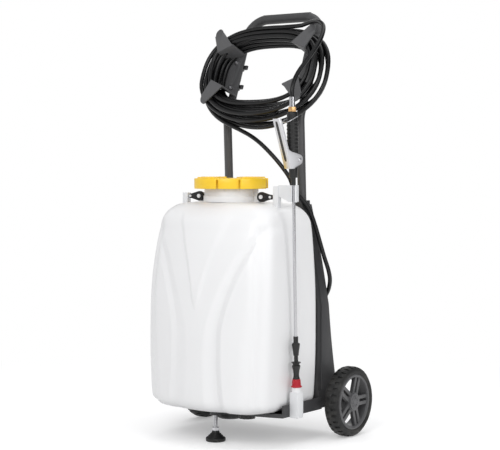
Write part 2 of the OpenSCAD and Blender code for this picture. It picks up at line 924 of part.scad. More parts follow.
module strainer() {
    color(frame_grey)
        translate([0, neck_y, 0])
            difference() {
                union() {
                    translate([0, 0, ledge_z])
                        cylinder(r = neck_bore_r + 2.7, h = 3);
                    translate([0, 0, tank_top - 20])
                        cylinder(r = neck_bore_r - run_gap, h = ledge_z - tank_top + 20);
                }
                translate([0, 0, tank_top - 17])
                    cylinder(r = neck_bore_r - 3, h = 100);
                for (i = [0:11])
                    rotate([0, 0, i * 30])
                        block([neck_bore_r - 10, -6, tank_top - 12], [neck_bore_r + 5, 6, ledge_z - 8]);
                for (i = [-3:3])
                    block([-40, i * 10 - 2.5, tank_top - 25] + [abs(i) * 3, 0, 0],
                        [40, i * 10 + 2.5, tank_top - 10] - [abs(i) * 3, 0, 0]);
            }
}

// Ring round the neck with an ear and a peg on each side, where the straps hold.
ear_x = 98;
module neck_collar() {
    color(white_hdpe)
        difference() {
            union() {
                translate([0, neck_y, top_flat_z])
                    cylinder(r = neck_r + 2.5, h = 15);
                both_sides() {
                    block([neck_r - 4, post_y + 4.5, top_flat_z], [ear_x + 6, post_y + 8.5, strap_z + 10]);
                    translate([ear_x, 0, strap_z])
                        rod_y(5, post_y - 6, post_y + 5);
                }
            }
            translate([0, neck_y, tank_top])
                cylinder(r = neck_r + pin_gap, h = 40);
        }
}

// Tapered rubber strap from the collar's ear to the tank's lug.
module strap() {
    lo = post_y - 4;
    hi = post_y + 4.5;
    difference() {
        union() {
            translate([ear_x, 0, strap_z])
                rod_y(12.5, lo, hi);
            translate([peg_x, 0, strap_z])
                rod_y(6, lo, hi);
            slab_y(lo, hi)
                polygon([[ear_x + 3, strap_z + 12], [peg_x - 1, strap_z + 5.7],
                    [peg_x - 1, strap_z - 5.7], [ear_x + 3, strap_z - 12]]);
        }
        translate([ear_x, 0, strap_z])
            rod_y(5 + pin_gap, lo - 1, hi + 1);
        translate([peg_x, 0, strap_z])
            rod_y(3 + pin_gap, lo - 1, hi + 1);
    }
}

module strap_right() { color(rubber) strap(); }
module strap_left() { color(rubber) mirror([1, 0, 0]) strap(); }

// --- Lance clip and rest ---------------------------------------------------------------------

// Frame of the lance: origin at the rest's collar, z up along the lance.
module at_lance() {
    translate([lance_x, lance_y, rest_z])
        rotate([lance_tilt, 0, 0])
            children();
}

clip_x = 190;
clip_mid_y = lance_y - (clip_low + clip_h / 2 - rest_z) * tan(lance_tilt);

module lance_clip() {
    color(white_hdpe)
        difference() {
            translate([0, 0, clip_low])
                linear_extrude(clip_h) {
                    translate([post_x + 8, post_y - 3])
                        square([clip_x - post_x - 8, 4]);
                    translate([clip_x - 4, post_y - 3])
                        square([4, 31]);
                    translate([clip_x - 2, post_y - 1])
                        rotate(atan2(clip_mid_y - post_y + 1, lance_x - clip_x + 2))
                            translate([-1, -2])
                                square([norm([clip_mid_y - post_y, lance_x - clip_x]), 4]);
                    translate([lance_x, clip_mid_y])
                        circle(r = spray_tube_d / 2 + 4.5);
                }
            // The edge under the plate slopes up to the lug.
            slab_y(post_y - 10, post_y + 10)
                polygon([[post_x + 7, clip_low - 1], [post_x + 7, clip_low + 14], [clip_x - 6, clip_low - 1]]);
            at_lance()
                rotate([0, 0, 150])
                    cylinder(r = spray_tube_d / 2 + run_gap, h = 900);
            // Mouth of the clip.
            translate([lance_x, clip_mid_y, clip_low - 1])
                rotate([0, 0, -60])
                    translate([0, -3.4, 0])
                        cube([20, 6.8, clip_h + 2]);
        }
}

tip_r = 8.5;
tip_depth = 32;

module nozzle_rest() {
    w = 24;
    color(white_hdpe)
        difference() {
            union() {
                block([tray_half_w, lance_y - w / 2, tray_z - 2], [tray_half_w + w, lance_y + w / 2, rest_z - 12]);
                at_lance()
                    translate([0, 0, -14])
                        cylinder(r = w / 2 - 0.5, h = 14);
            }
            at_lance()
                translate([0, 0, -tip_depth - 4])
                    cylinder(r = tip_r + run_gap, h = tip_depth + 20);
        }
}

// --- Lance -----------------------------------------------------------------------------------

module nozzle_cap() {
    color([0.77, 0.07, 0.16])
        at_lance()
            rotate_extrude()
                polygon([[5.5 + pin_gap, run_gap], [13.5, run_gap], [13.5, 2.5], [11.2, 4], [10.2, 17],
                    [9.2, 20], [5.5 + pin_gap, 20]]);
}

module nozzle_tip() {
    color(white_hdpe)
        at_lance()
            rotate_extrude()
                polygon([[0, -tip_depth], [tip_r - 3, -tip_depth], [tip_r, -tip_depth + 6], [tip_r, -run_gap],
                    [5.5, -run_gap], [5.5, 20 + run_gap], [0, 20 + run_gap]]);
}

// Waisted nozzle body with a flange and a neck above it.
module nozzle_body() {
    color(rubber)
        at_lance()
            rotate_extrude()
                polygon([[0, 20 + run_gap], [9, 20 + run_gap], [7.2, 26], [6.8, 31], [8, 42], [10.2, 50],
                    [10.4, 53], [7.5, 56], [8, 58], [11.5, 60], [11.5, 62], [5, 63], [5, 78], [0, 78]]);
}

module nozzle_coupler() {
    color(rubber)
        at_lance()
            rotate_extrude()
                polygon([[0, 78], [6.5, 78], [7, 84], [10, 104], [10, 107], [8.5, 108.5], [5.8, 110],
                    [5.8, 125], [0, 125]]);
}

module spray_tube() {
    color(steel)
        at_lance()
            translate([0, 0, 125])
                ring(spray_tube_d / 2 - 1, spray_tube_d / 2, grip_from - tube_nut_h - 125);
}

module tube_nut() {
    color(rubber)
        at_lance() {
            translate([0, 0, grip_from - tube_nut_h])
                cylinder(r = 6, h = 18);
            translate([0, 0, grip_from - 24])
                cylinder(r = 10.5, h = 24);
        }
}

grip_w = 28;
grip_d = 23;

module at_lever() {
    at_lance()
        rotate([0, 0, lever_turn])
            children();
}

pivot_x = 10;
pivot_z = grip_from + 19;
lever_pin_r = 2.5;

module lance_grip() {
    color(rubber)
        at_lever()
            union() {
                difference() {
                    union() {
                        translate([0, 0, grip_from])
                            linear_extrude(grip_len)
                                stadium(grip_w, grip_d);
                        for (i = [5:12])
                            translate([0, 0, grip_from + i * 9])
                                linear_extrude(5)
                                    stadium(grip_w + 2, grip_d + 2);
                    }
                    translate([pivot_x, 0, pivot_z])
                        rod_y(lever_pin_r + pin_gap, -30, 30);
                }
                // Pin of the wire loop.
                translate([bail_x, 0, bail_z])
                    rod_y(bail_pin_r, -bail_half - 2, bail_half + 2);
            }
}

lever_top = grip_from + 119;

module flange_outline() {
    polygon([[-49.5, lever_top], [-42, lever_top], [-24, grip_from + 60], [-10, grip_from + 44],
        [12, grip_from + 32], [20, grip_from + 23], [18, grip_from + 11], [4, grip_from + 6],
        [-10, grip_from - 4], [-15.6, grip_from]]);
}

// Folded lever: two side flanges joined by a web along the outer edge, with its pin.
module trigger_lever() {
    inner = grip_d / 2 + 1.5;
    color(steel)
        at_lever() {
            for (s = [-1, 1])
                slab_y(s > 0 ? inner : -inner - 1.5, s > 0 ? inner + 1.5 : -inner)
                    flange_outline();
            slab_y(-inner - 1.5, inner + 1.5)
                polygon([[-49.5, lever_top], [-48, lever_top], [-18.2, grip_from + 8],
                    [-19.7, grip_from + 8]]);
            translate([pivot_x, 0, pivot_z])
                rod_y(lever_pin_r, -inner - 3.5, inner + 3.5);
        }
}

bail_x = 6;
bail_z = grip_from + 124;
bail_half = grip_d / 2 + 2.5;
bail_pin_r = 1.4;
bail_in = grip_d / 2 + 1.3;

// Wire loop that swings down to catch the lever.
module lock_bail() {
    color(steel)
        at_lever()
            translate([bail_x, 0, bail_z])
                difference() {
                    union() {
                        rotate([0, -100, 0])
                            slab_x(-1, 1)
                                difference() {
                                    translate([-bail_half - 1, -1])
                                        square([2 * bail_half + 2, 27]);
                                    translate([-bail_half + 1, 1])
                                        square([2 * bail_half - 2, 23]);
                                }
                        for (s = [-1, 1])
                            rod_y(bail_pin_r + 1.4, s > 0 ? bail_in - 1 : -bail_half - 1.3,
                                s > 0 ? bail_half + 1.3 : 1 - bail_in);
                    }
                    rod_y(bail_pin_r + pin_gap, -30, 30);
                    block([-8, -bail_in, -8], [2.9, bail_in, 8]);
                }
}

// --- Hose ------------------------------------------------------------------------------------

hose_r = hose_d / 2;
nut_z = grip_from + grip_len;

module hose_nut() {
    color([0.80, 0.58, 0.30])
        at_lance()
            translate([0, 0, nut_z])
                cylinder(r = 10.5, h = 12, $fn = 6);
}

module hose_ferrule() {
    color(steel)
        at_lance()
            translate([0, 0, nut_z + 12])
                union() {
                    cylinder(r = 7.5, h = 5);
                    translate([0, 0, 5])
                        cylinder(r = 6.8, h = 14);
                    translate([0, 0, 19])
                        cylinder(r = 7.5, h = 5);
                }
}

// Free stretch from the coil's upper right corner forwards and down to the ferrule.
end_points = [[106, 96, 1046], [145, 84, 1052], [180, 62, 1049], [208, 40, 1036], [222, 18, 1016],
    [226, -4, 992], [222, -26, 966], [215, -48, 940], [209, -70, 914], [207, -86, 890],
    [207, -92.9, 870], [207, -92.4, 854.9]];
// Free stretch from the bottom of the coil down past the right socket to the pump's outlet.
feed_points = [[-8, 14, 786], [14, 18, 764], [42, 24, 736], [78, 33, 695], [104, 42, 660],
    [113, 46, 636], [124, 52, 616], [137, 60, 598], [148, 71, 574], [156, 82, 540],
    [166, 89, 498], [178, 93, 456], [187, 99, 422], [184, 110, 394], [171, 119, 366],
    [152, 121, 342], [134, 115, 318], [123, 106, 292], [118.5, 100, 262],
    [outlet_x, pipe_up_y, 232], [outlet_x, pipe_up_y, outlet_top]];

function unit(v) = v / norm(v);

// Smooth curve through a list of points, with a number of steps between each two.
function smooth(p, steps) =
    [for (i = [0:len(p) - 2], k = [0:steps - 1])
        let (t = k / steps, a = p[max(i - 1, 0)], b = p[i], c = p[i + 1], d = p[min(i + 2, len(p) - 1)])
        0.5 * ((2 * b) + (c - a) * t + (2 * a - 5 * b + 4 * c - d) * t * t
            + (3 * b - a - 3 * c + d) * t * t * t)];

function tangents(p) =
    [for (i = [0:len(p) - 1]) unit(p[min(i + 1, len(p) - 1)] - p[max(i - 1, 0)])];

// Carries a sideways direction along the curve without twisting it.
function carried(t, i, n) =
    i == len(t) ? [] : let (m = unit(n - (n * t[i]) * t[i])) concat([m], carried(t, i + 1, m));

module hose_along(points, steps) {
    sides = 8;
    path = concat(smooth(points, steps), [points[len(points) - 1]]);
    t = tangents(path);
    u = carried(t, 0, [0.3, 1, 0.2]);
    last = len(path) - 1;
    polyhedron(
        points = [for (i = [0:last], k = [0:sides - 1])
            let (a = k * 360 / sides)
            path[i] + hose_r * (cos(a) * u[i] + sin(a) * cross(t[i], u[i]))],
        faces = concat([[for (k = [0:sides - 1]) k]],
            [for (f = skin(last + 1, sides, 0, false)) [f[2], f[1], f[0]]],
            [[for (k = [sides - 1:-1:0]) last * sides + k]]));
}

module hose_end() { color(rubber) hose_along(end_points, 1); }
module hose_feed() { color(rubber) hose_along(feed_points, 1); }

// Outline of the hanging coil: an oval, squarer than an ellipse.
function oval(half_w, low, high, power) =
    [for (a = [0:6:354]) let (c = cos(a), s = sin(a))
        [half_w * sign(c) * pow(abs(c), power),
            (low + high) / 2 + (high - low) / 2 * sign(s) * pow(abs(s), power)]];

module hose_coil() {
    color(rubber)
        at_top()
            slab_y(-coil_front, -coil_back)
                difference() {
                    polygon(oval(coil_half_w, -coil_low, coil_high, 0.86));
                    polygon(oval(coil_hole_half_w, coil_hole_low, coil_hole_high, 0.56));
                }
}

// --- Foot ------------------------------------------------------------------------------------

module foot_pad() {
    color(rubber)
        translate([0, foot_y, 0])
            rotate_extrude()
                polygon([[0, 0], [foot_r - 2, 0], [foot_r, 2], [foot_r, 9], [9, foot_pad_h - 3],
                    [8, foot_pad_h], [0, foot_pad_h]]);
}

// Stud of the foot, with its nut on the pad.
module foot_stud() {
    color(steel)
        translate([0, foot_y, foot_pad_h]) {
            cylinder(r = stud_d / 2, h = tray_z + 6 - foot_pad_h);
            cylinder(r = 9.5, h = 8, $fn = 6);
        }
}

// --- Lid -------------------------------------------------------------------------------------

lobe_turn = -103;

module lid_outline(r_lobe, r_gap) {
    circle(r = r_gap);
    for (i = [0:lobe_count - 1])
        rotate(lobe_turn + i * 360 / lobe_count)
            intersection() {
                circle(r = r_lobe);
                polygon([[0, 0], [120, -120 * tan(lobe_angle / 2)], [120, 120 * tan(lobe_angle / 2)]]);
            }
}

module lid() {
    skirt_r = neck_r + 2;
    top_z = lid_z + lid_h;
    color([1, 0.76, 0.17])
        translate([0, neck_y, 0])
            difference() {
                union() {
                    translate([0, 0, lid_z])
                        linear_extrude(lid_h)
                            lid_outline(lid_r, lid_gap_r);
                    for (i = [0:lobe_count - 1])
                        rotate([0, 0, lobe_turn - 22 + i * 360 / lobe_count])
                            translate([0, 0, top_z - 1])
                                rotate_extrude(angle = 44)
                                    translate([40, 0])
                                        square([lid_r - 46, 1 + lid_pad_h]);
                }
                translate([0, 0, lid_z - 1])
                    cylinder(r = skirt_r, h = neck_top_z + run_gap + 3 - lid_z + 1);
                translate([0, 0, lid_z - 1])
                    linear_extrude(lid_h - 3)
                        difference() {
                            lid_outline(lid_r - 3.5, lid_gap_r - 3.5);
                            circle(r = skirt_r + 4);
                        }
                // Scooped underside at one end of each lobe.
                for (i = [0:lobe_count - 1])
                    rotate([0, 0, lobe_turn + i * 360 / lobe_count])
                        translate([lid_gap_r - 1, lid_r * sin(lobe_angle / 2), lid_z - 8])
                            rotate([16, 0, 0])
                                translate([-10, -26, 0])
                                    cube([30, 40, 7]);
            }
}

module lid_gasket() {
    color(rubber)
        translate([0, neck_y, neck_top_z + run_gap])
            ring(neck_bore_r + 3, neck_r, 3);
}

// --- Pump, battery and controls --------------------------------------------------------------

// Filter bowl under the tank's outlet, with its neck up through the tray into the tank.
module sump_bowl() {
    color(rubber)
        translate([0, sump_y, 0])
            difference() {
                union() {
                    rotate_extrude()
                        polygon([[0, tray_z - sump_h], [sump_r - 16, tray_z - sump_h],
                            [sump_r - 6, tray_z - sump_h + 6], [sump_r, tray_z - 6], [sump_r, tray_z],
                            [0, tray_z]]);
                    translate([0, 0, pipe_z])
                        rod_y(8.8, 10, sump_r + 6);
                    translate([0, 0, tray_z - 1])
                        cylinder(r = sump_neck_r, h = tank_z + tank_wall + 3 - tray_z + 1);
                }
                translate([0, 0, tray_z - 12])
                    cylinder(r = sump_neck_r - 4, h = 60);
            }
}

module drain_cap() {
    color(rubber)
        translate([drain_x, drain_y, 0])
            difference() {
                union() {
                    translate([0, 0, tray_z - 12])
                        cylinder(r = drain_r, h = 12 - run_gap);
                    translate([0, 0, tray_z - 1])
                        cylinder(r = drain_r - 6, h = tray_floor + 2);
                }
                for (i = [0:11])
                    rotate([0, 0, i * 30])
                        translate([drain_r, 0, tray_z - 13])
                            cylinder(r = 1.5, h = 10, $fn = 16);
            }
}

module suction_pipe() {
    bend = tray_z - pipe_z;
    color(rubber)
        translate([pipe_x, 0, 0]) {
            translate([0, 0, pipe_z])
                rod_y(pipe_r, sump_y + sump_r + 6, pipe_up_y - bend);
            translate([0, pipe_up_y - bend, pipe_z + bend])
                rotate([0, 90, 0])
                    rotate_extrude(angle = 90)
                        translate([bend, 0])
                            circle(r = pipe_r);
            translate([0, pipe_up_y, pipe_z + bend])
                cylinder(r = pipe_r, h = pump_z - 24 - pipe_z - bend);
        }
}

module pump_head() {
    color(frame_grey)
        difference() {
            union() {
                block([-30, pipe_up_y - 24, pump_z - 24], [30, pipe_up_y + 24, pump_z + 24]);
                for (x = [-30, 15])
                    block([x, pipe_up_y - 24, house_z + house_wall], [x + 15, pipe_up_y + 24, pump_z - 23]);
                translate([0, pipe_up_y, pump_z])
                    rod_x(10, 29, 44);
            }
            translate([0, pipe_up_y, pump_z])
                rod_x(6, 36, 45);
        }
}

module pump_motor() {
    color(steel)
        translate([0, pipe_up_y, pump_z]) {
            rod_x(24, -house_half_w + 12, -30);
            rod_x(6, -house_half_w + 8, -house_half_w + 12);
        }
}

// Pipe from the pump's outlet to the housing's side.
module delivery_pipe() {
    color(rubber)
        translate([0, pipe_up_y, pump_z])
            rod_x(5, 36, house_half_w);
}

// Elbow on the housing's side, with the nut that holds the hose.
module outlet_fitting() {
    bend = 10;
    color([0.80, 0.58, 0.30])
        translate([0, pipe_up_y, pump_z]) {
            rod_x(12, house_half_w, house_half_w + 4);
            rod_x(6, house_half_w + 3, outlet_x - bend);
            translate([outlet_x - bend, 0, bend])
                rotate([90, 0, 0])
                    rotate([0, 0, -90])
                        rotate_extrude(angle = 90)
                            translate([bend, 0])
                                circle(r = 6);
            translate([outlet_x, 0, bend])
                cylinder(r = 6, h = 22);
            translate([outlet_x, 0, bend + 20])
                cylinder(r = 9.5, h = 16, $fn = 6);
        }
}

battery_lo = house_z + 74;

module battery_pack() {
    color([0.15, 0.16, 0.18])
        union() {
            block([-house_half_w + 24, house_front_y + house_wall + 4, battery_lo + 3],
                [house_half_w - 25, house_front_y + house_wall + 69, battery_lo + 97]);
            for (x = [-55, 45])
                block([x, house_front_y + 30, battery_lo + 96], [x + 10, house_front_y + 36, battery_lo + 102]);
        }
}

door_lo = battery_lo + 4;
door_hi = house_z + house_h - 14;
door_half_w = house_half_w - 20;
hinge_z = house_z + house_h - 8;
hinge_y = house_back_y + 5;
hinge_pin_r = 2;

module rear_housing() {
    hi = house_z + house_h;
    color(frame_grey)
        difference() {
            union() {
                difference() {
                    block([-house_half_w, house_front_y, house_z], [house_half_w, house_back_y, hi]);
                    block([-house_half_w + house_wall, house_front_y + house_wall, house_z + house_wall],
                        [house_half_w - house_wall, house_back_y - house_wall, hi - house_wall]);
                }
                // Shelf under the battery.
                block([-house_half_w + 1, house_front_y + 1, battery_lo], [house_half_w - 1, house_back_y - 1, battery_lo + 3]);
                // Ears of the door's hinge.
                both_sides()
                    block([door_half_w - 12, house_back_y - 1, hinge_z - 5], [door_half_w - 4, hinge_y + 5, hinge_z + 5]);
                // Side brackets that reach the uprights.
                both_sides()
                    block([house_half_w - 1, house_front_y + 8, house_z + 20],
                        [frame_foot_half_w - upright_w, house_front_y + 14, house_z + 60]);
            }
            // Door opening.
            block([-door_half_w + 8, house_back_y - house_wall - 1, door_lo + 8], [door_half_w - 8, house_back_y + 1, door_hi - 12]);
            translate([0, hinge_y, hinge_z])
                rod_x(hinge_pin_r + pin_gap, -door_half_w - 10, door_half_w + 10);
            // Holes for the switch, the knob, the charging socket and the pipe.
            translate([switch_x, 0, control_z])
                block([-15.3, house_back_y - 10, -10.3], [15.3, house_back_y + 10, 10.3]);
            translate([knob_x, 0, control_z])
                rod_y(4 + pin_gap, house_back_y - 10, house_back_y + 10);
            translate([socket_x, 0, control_z])
                rod_y(8 + pin_gap, house_back_y - 10, house_back_y + 10);
            translate([pipe_x, pipe_up_y, house_z - 1])
                cylinder(r = pipe_r + run_gap, h = 10);
            translate([0, pipe_up_y, pump_z])
                rod_x(5 + run_gap, 80, house_half_w + 1);
        }
}

// Flap over the battery, with the barrel and the pins of its hinge along the top.
module battery_door() {
    in = house_back_y + run_gap;
    color(frame_grey) {
        block([-door_half_w, in, door_lo], [door_half_w, in + 4, hinge_z - 7]);
        block([-door_half_w + 14, in, hinge_z - 8], [door_half_w - 14, in + 4, hinge_z]);
        translate([0, hinge_y, hinge_z]) {
            rod_x(4.2, -door_half_w + 14, door_half_w - 14);
            rod_x(hinge_pin_r, -door_half_w + 2, door_half_w - 2);
        }
        // Finger lip along the lower edge.
        block([-20, in + 3, door_lo], [20, in + 9, door_lo + 5]);
    }
}

rock_in = 3.5;

// Rocker that tips about a middle axis, behind the housing's back face.
module power_switch() {
    color([0.55, 0.08, 0.06])
        translate([switch_x, house_back_y, control_z])
            union() {
                slab_x(-14.5, 14.5)
                    polygon([[-rock_in, -9], [3, -9], [1.2, 0], [5, 9], [-rock_in, 9]]);
                translate([0, -rock_in, 0])
                    rod_x(4.5, -14.5, 14.5);
            }
}

module pressure_knob() {
    color(rubber)
        translate([knob_x, house_back_y, control_z])
            difference() {
                union() {
                    rod_y(17, run_gap, 14);
                    rod_y(4, -8, 1);
                    block([-2, 13, 4], [2, 15.5, 16]);
                }
                for (i = [0:11])
                    rotate([0, i * 30, 0])
                        translate([17.6, 0, 0])
                            rod_y(1.6, -1 + run_gap, 20);
            }
}

module charge_socket() {
    color(rubber)
        translate([socket_x, house_back_y, control_z])
            difference() {
                union() {
                    rod_y(11, 0, 3);
                    rod_y(8, -12, 1);
                }
                rod_y(4.5, -8, 4);
            }
}

// --- Assembly --------------------------------------------------------------------------------

base_tray();
back_frame();
handle_leg_left();
handle_leg_right();
handle_bends();
handle_top();
grip_sleeve();
socket_bolts();
axle();
axle_clips();
tank();
tank_neck();
tank_lugs();
strainer();
neck_collar();
strap_left();
strap_right();
lance_clip();
nozzle_rest();
holder_left();
holder_right();
holder_clamps();
holder_screws();
rear_housing();
battery_pack();
pump_head();
pump_motor();
sump_bowl();
suction_pipe();
delivery_pipe();
outlet_fitting();
charge_socket();
battery_door();
power_switch();
pressure_knob();
drain_cap();
lid();
lid_gasket();
left_tyre();
left_rim();
left_hub_cap();
right_tyre();
right_rim();
right_hub_cap();
foot_stud();
foot_pad();
lance_grip();
tube_nut();
spray_tube();
nozzle_coupler();
nozzle_body();
nozzle_tip();
nozzle_cap();
trigger_lever();
lock_bail();
hose_coil();
hose_feed();
hose_end();
hose_ferrule();
hose_nut();
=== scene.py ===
import json
import math

import bpy
import numpy as np
from mathutils import Matrix, Vector

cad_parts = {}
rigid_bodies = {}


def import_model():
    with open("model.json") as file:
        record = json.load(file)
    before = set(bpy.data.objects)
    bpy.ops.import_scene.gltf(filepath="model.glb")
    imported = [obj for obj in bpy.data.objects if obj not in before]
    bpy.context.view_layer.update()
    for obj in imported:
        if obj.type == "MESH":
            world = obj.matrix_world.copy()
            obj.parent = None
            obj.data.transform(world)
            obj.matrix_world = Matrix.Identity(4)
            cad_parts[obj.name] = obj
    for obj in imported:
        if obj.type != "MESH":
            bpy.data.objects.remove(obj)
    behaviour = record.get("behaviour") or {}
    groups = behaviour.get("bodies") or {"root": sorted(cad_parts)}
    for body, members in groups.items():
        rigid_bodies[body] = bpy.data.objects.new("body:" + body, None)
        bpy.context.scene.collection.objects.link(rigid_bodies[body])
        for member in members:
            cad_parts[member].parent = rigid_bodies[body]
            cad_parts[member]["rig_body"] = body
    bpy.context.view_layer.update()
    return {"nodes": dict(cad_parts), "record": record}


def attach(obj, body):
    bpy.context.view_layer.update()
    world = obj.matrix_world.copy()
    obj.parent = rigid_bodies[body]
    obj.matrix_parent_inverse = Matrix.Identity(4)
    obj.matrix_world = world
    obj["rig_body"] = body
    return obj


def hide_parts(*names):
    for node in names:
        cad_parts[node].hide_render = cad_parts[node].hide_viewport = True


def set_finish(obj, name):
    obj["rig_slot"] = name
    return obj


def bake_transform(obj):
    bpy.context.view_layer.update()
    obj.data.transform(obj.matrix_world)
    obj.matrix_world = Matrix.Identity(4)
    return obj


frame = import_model()

bl_info = {
    "name": "Wheeled Spray Cart",
    "version": (1, 0, 0),
    "blender": (4, 5, 0),
    "location": "3D View > Sidebar > Spray Cart",
    "description": "Dresses the spray cart's solids with their finished pieces and materials",
    "category": "Object",
}

NODES = frame["nodes"]
SLOTS = {part["node"]: part["material_slot"] for part in frame["record"]["subparts"]}
MM = 0.001


# --- Sizes and colours -------------------------------------------------------------------------


def length(name, description, default, low=0.0, high=2.0):
    """A length in metres that a user can change."""
    return bpy.props.FloatProperty(name=name, description=description, default=default, min=low,
                                   max=high, unit="LENGTH", precision=4)


def colour(name, description, default):
    """A colour that a user can change."""
    return bpy.props.FloatVectorProperty(name=name, description=description, default=default,
                                         subtype="COLOR", size=3, min=0.0, max=1.0)


class CartSizes(bpy.types.PropertyGroup):
    """Sizes of the pieces that the solids leave open."""

    hose_diameter: length("Hose diameter", "Outside diameter of the spray hose", 0.011, 0.008, 0.014)
    groove: length("Tank groove", "Depth of the moulded grooves in the tank", 0.0065, 0.002, 0.01)
    panel: length("Tank panel", "How far the tank's front panel stands proud", 0.0035, 0.0, 0.006)
    edge: length("Moulded edge", "Rounding of the edges of moulded parts", 0.0012, 0.0003, 0.003)
    pressed: length("Pressed edge", "Rounding of the edges of sheet metal parts", 0.0006, 0.0002, 0.002)
    wire: length("Bail wire", "Diameter of the lever's wire loop", 0.002, 0.001, 0.003)


class CartColours(bpy.types.PropertyGroup):
    """Colours of the finishes."""

    tank: colour("Tank", "Blow-moulded tank", (0.87, 0.872, 0.875))
    fittings: colour("White fittings", "Collar, lugs, clip and rest", (0.80, 0.81, 0.82))
    lid: colour("Lid", "Screw lid", (1.0, 0.63, 0.03))
    chassis: colour("Chassis", "Tray, back frame and rear housing", (0.032, 0.032, 0.034))
    tube: colour("Handle tube", "Powder-coated handle", (0.070, 0.070, 0.072))
    holder: colour("Hose holders", "Powder-coated sheet metal", (0.062, 0.062, 0.064))
    rubber: colour("Rubber", "Tyres, straps and foot", (0.006, 0.006, 0.006))
    hose: colour("Hose", "Spray hose", (0.005, 0.005, 0.0055))
    rim: colour("Rims", "Moulded wheel rims", (0.075, 0.075, 0.078))
    red: colour("Red cap", "Nozzle cap and switch", (0.42, 0.006, 0.018))
    brass: colour("Brass", "Hose nut and outlet", (0.72, 0.44, 0.20))


# --- Modelling ---------------------------------------------------------------------------------

# Points nearer than this are one, and edges bent more than this are rounded.
MERGE, EDGE_ANGLE = 1e-6, 38

def select_only(obj):
    """Leaves one object selected and active."""
    bpy.ops.object.select_all(action="DESELECT")
    obj.select_set(True)
    bpy.context.view_layer.objects.active = obj


def settle(name):
    """Names the active object and moves its place into its mesh."""
    obj = bpy.context.object
    select_only(obj)
    bpy.ops.object.transform_apply(location=True, rotation=True, scale=True)
    obj.name = name
    return obj


def tidy(obj):
    """Merges doubles and turns the faces of a newly made surface outwards."""
    select_only(obj)
    bpy.ops.object.mode_set(mode="EDIT")
    bpy.ops.mesh.select_all(action="SELECT")
    bpy.ops.mesh.remove_doubles(threshold=MERGE)
    bpy.ops.mesh.normals_make_consistent(inside=False)
    bpy.ops.object.mode_set(mode="OBJECT")


def smooth(obj, angle=40):
    """Shades an object smoothly up to an angle between faces."""
    select_only(obj)
    bpy.ops.object.shade_smooth_by_angle(angle=math.radians(angle))


def round_edges(obj, width):
    """Rounds the sharp edges of an object."""
    select_only(obj)
    bevel = obj.modifiers.new("Rounded edges", "BEVEL")
    bevel.width = width
    bevel.segments = 2
    bevel.limit_method = "ANGLE"
    bevel.angle_limit = math.radians(EDGE_ANGLE)
    bevel.use_clamp_overlap = True
    bpy.ops.object.modifier_apply(modifier=bevel.name)


def fit(obj, slot, *nodes, body=None):
    """Gives a finished piece its slot and body, and lets it stand for its solids."""
    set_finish(obj, slot)
    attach(obj, body or NODES[nodes[0]]["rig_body"])
    if nodes:
        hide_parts(*nodes)
    return obj


def copy_of(node, name, width):
    """A copy of a solid with rounded edges: its triangles are merged to faces first."""
    obj = bpy.data.objects.new(name, NODES[node].data.copy())
    bpy.context.scene.collection.objects.link(obj)
    obj.data.materials.clear()
    select_only(obj)
    bpy.ops.mesh.customdata_custom_splitnormals_clear()
    bpy.ops.object.mode_set(mode="EDIT")
    bpy.ops.mesh.select_all(action="SELECT")
    bpy.ops.mesh.remove_doubles(threshold=MERGE)
    bpy.ops.mesh.dissolve_limited(angle_limit=math.radians(1.0))
    bpy.ops.object.mode_set(mode="OBJECT")
    round_edges(obj, width)
    smooth(obj, EDGE_ANGLE)
    return obj


def wrap(name, rings):
    """A surface through rings of points: a flat grid is added and bent round ring by ring."""
    rows, columns = len(rings), len(rings[0])
    bpy.ops.object.select_all(action="DESELECT")
    bpy.ops.mesh.primitive_grid_add(x_subdivisions=columns, y_subdivisions=rows - 1, size=1)
    obj = settle(name)
    points = np.array([list(ring) + [ring[0]] for ring in rings], float)
    obj.data.vertices.foreach_set("co", points.reshape(-1).astype(np.float32))
    tidy(obj)
    return obj


def turned(name, outline, steps=48, place=Matrix.Identity(4)):
    """A turned part: its outline, as radius and height, is spun about its own axis."""
    bpy.ops.object.select_all(action="DESELECT")
    mesh = bpy.data.meshes.new(name)
    mesh.from_pydata([(r, 0, z) for r, z in outline], [(i, i + 1) for i in range(len(outline) - 1)], [])
    obj = bpy.data.objects.new(name, mesh)
    bpy.context.scene.collection.objects.link(obj)
    select_only(obj)
    bpy.ops.object.mode_set(mode="EDIT")
    bpy.ops.mesh.select_all(action="SELECT")
    bpy.ops.mesh.spin(steps=steps, angle=2 * math.pi, center=(0, 0, 0), axis=(0, 0, 1))
    bpy.ops.object.mode_set(mode="OBJECT")
    obj.data.transform(place)
    tidy(obj)
    return obj


def carried_frames(path):
    """Two sideways directions at each point of a path, carried along it without a twist."""
    path = np.array(path, float)
    ahead = np.vstack([path[1:], path[-1:]]) - np.vstack([path[:1], path[:-1]])
    ahead /= np.linalg.norm(ahead, axis=1)[:, None]
    side = np.cross(ahead[0], [0.31, 0.2, 1.0])
    frames = []
    for t in ahead:
        side = side - np.dot(side, t) * t
        side /= np.linalg.norm(side)
        frames.append((side.copy(), np.cross(t, side)))
    return frames


def tube(name, path, radii, sides=16):
    """A tube along a path; radii is one radius or one for each point."""
    radii = [radii] * len(path) if np.isscalar(radii) else list(radii)
    frames = carried_frames(path)
    turn = [2 * math.pi * k / sides for k in range(sides)]
    rings = [[np.array(p) + r * (math.cos(a) * u + math.sin(a) * v) for a in turn]
             for p, r, (u, v) in zip(path, radii, frames)]
    rings = [[np.array(path[0])] * sides] + rings + [[np.array(path[-1])] * sides]
    obj = wrap(name, rings)
    smooth(obj, 50)
    return obj


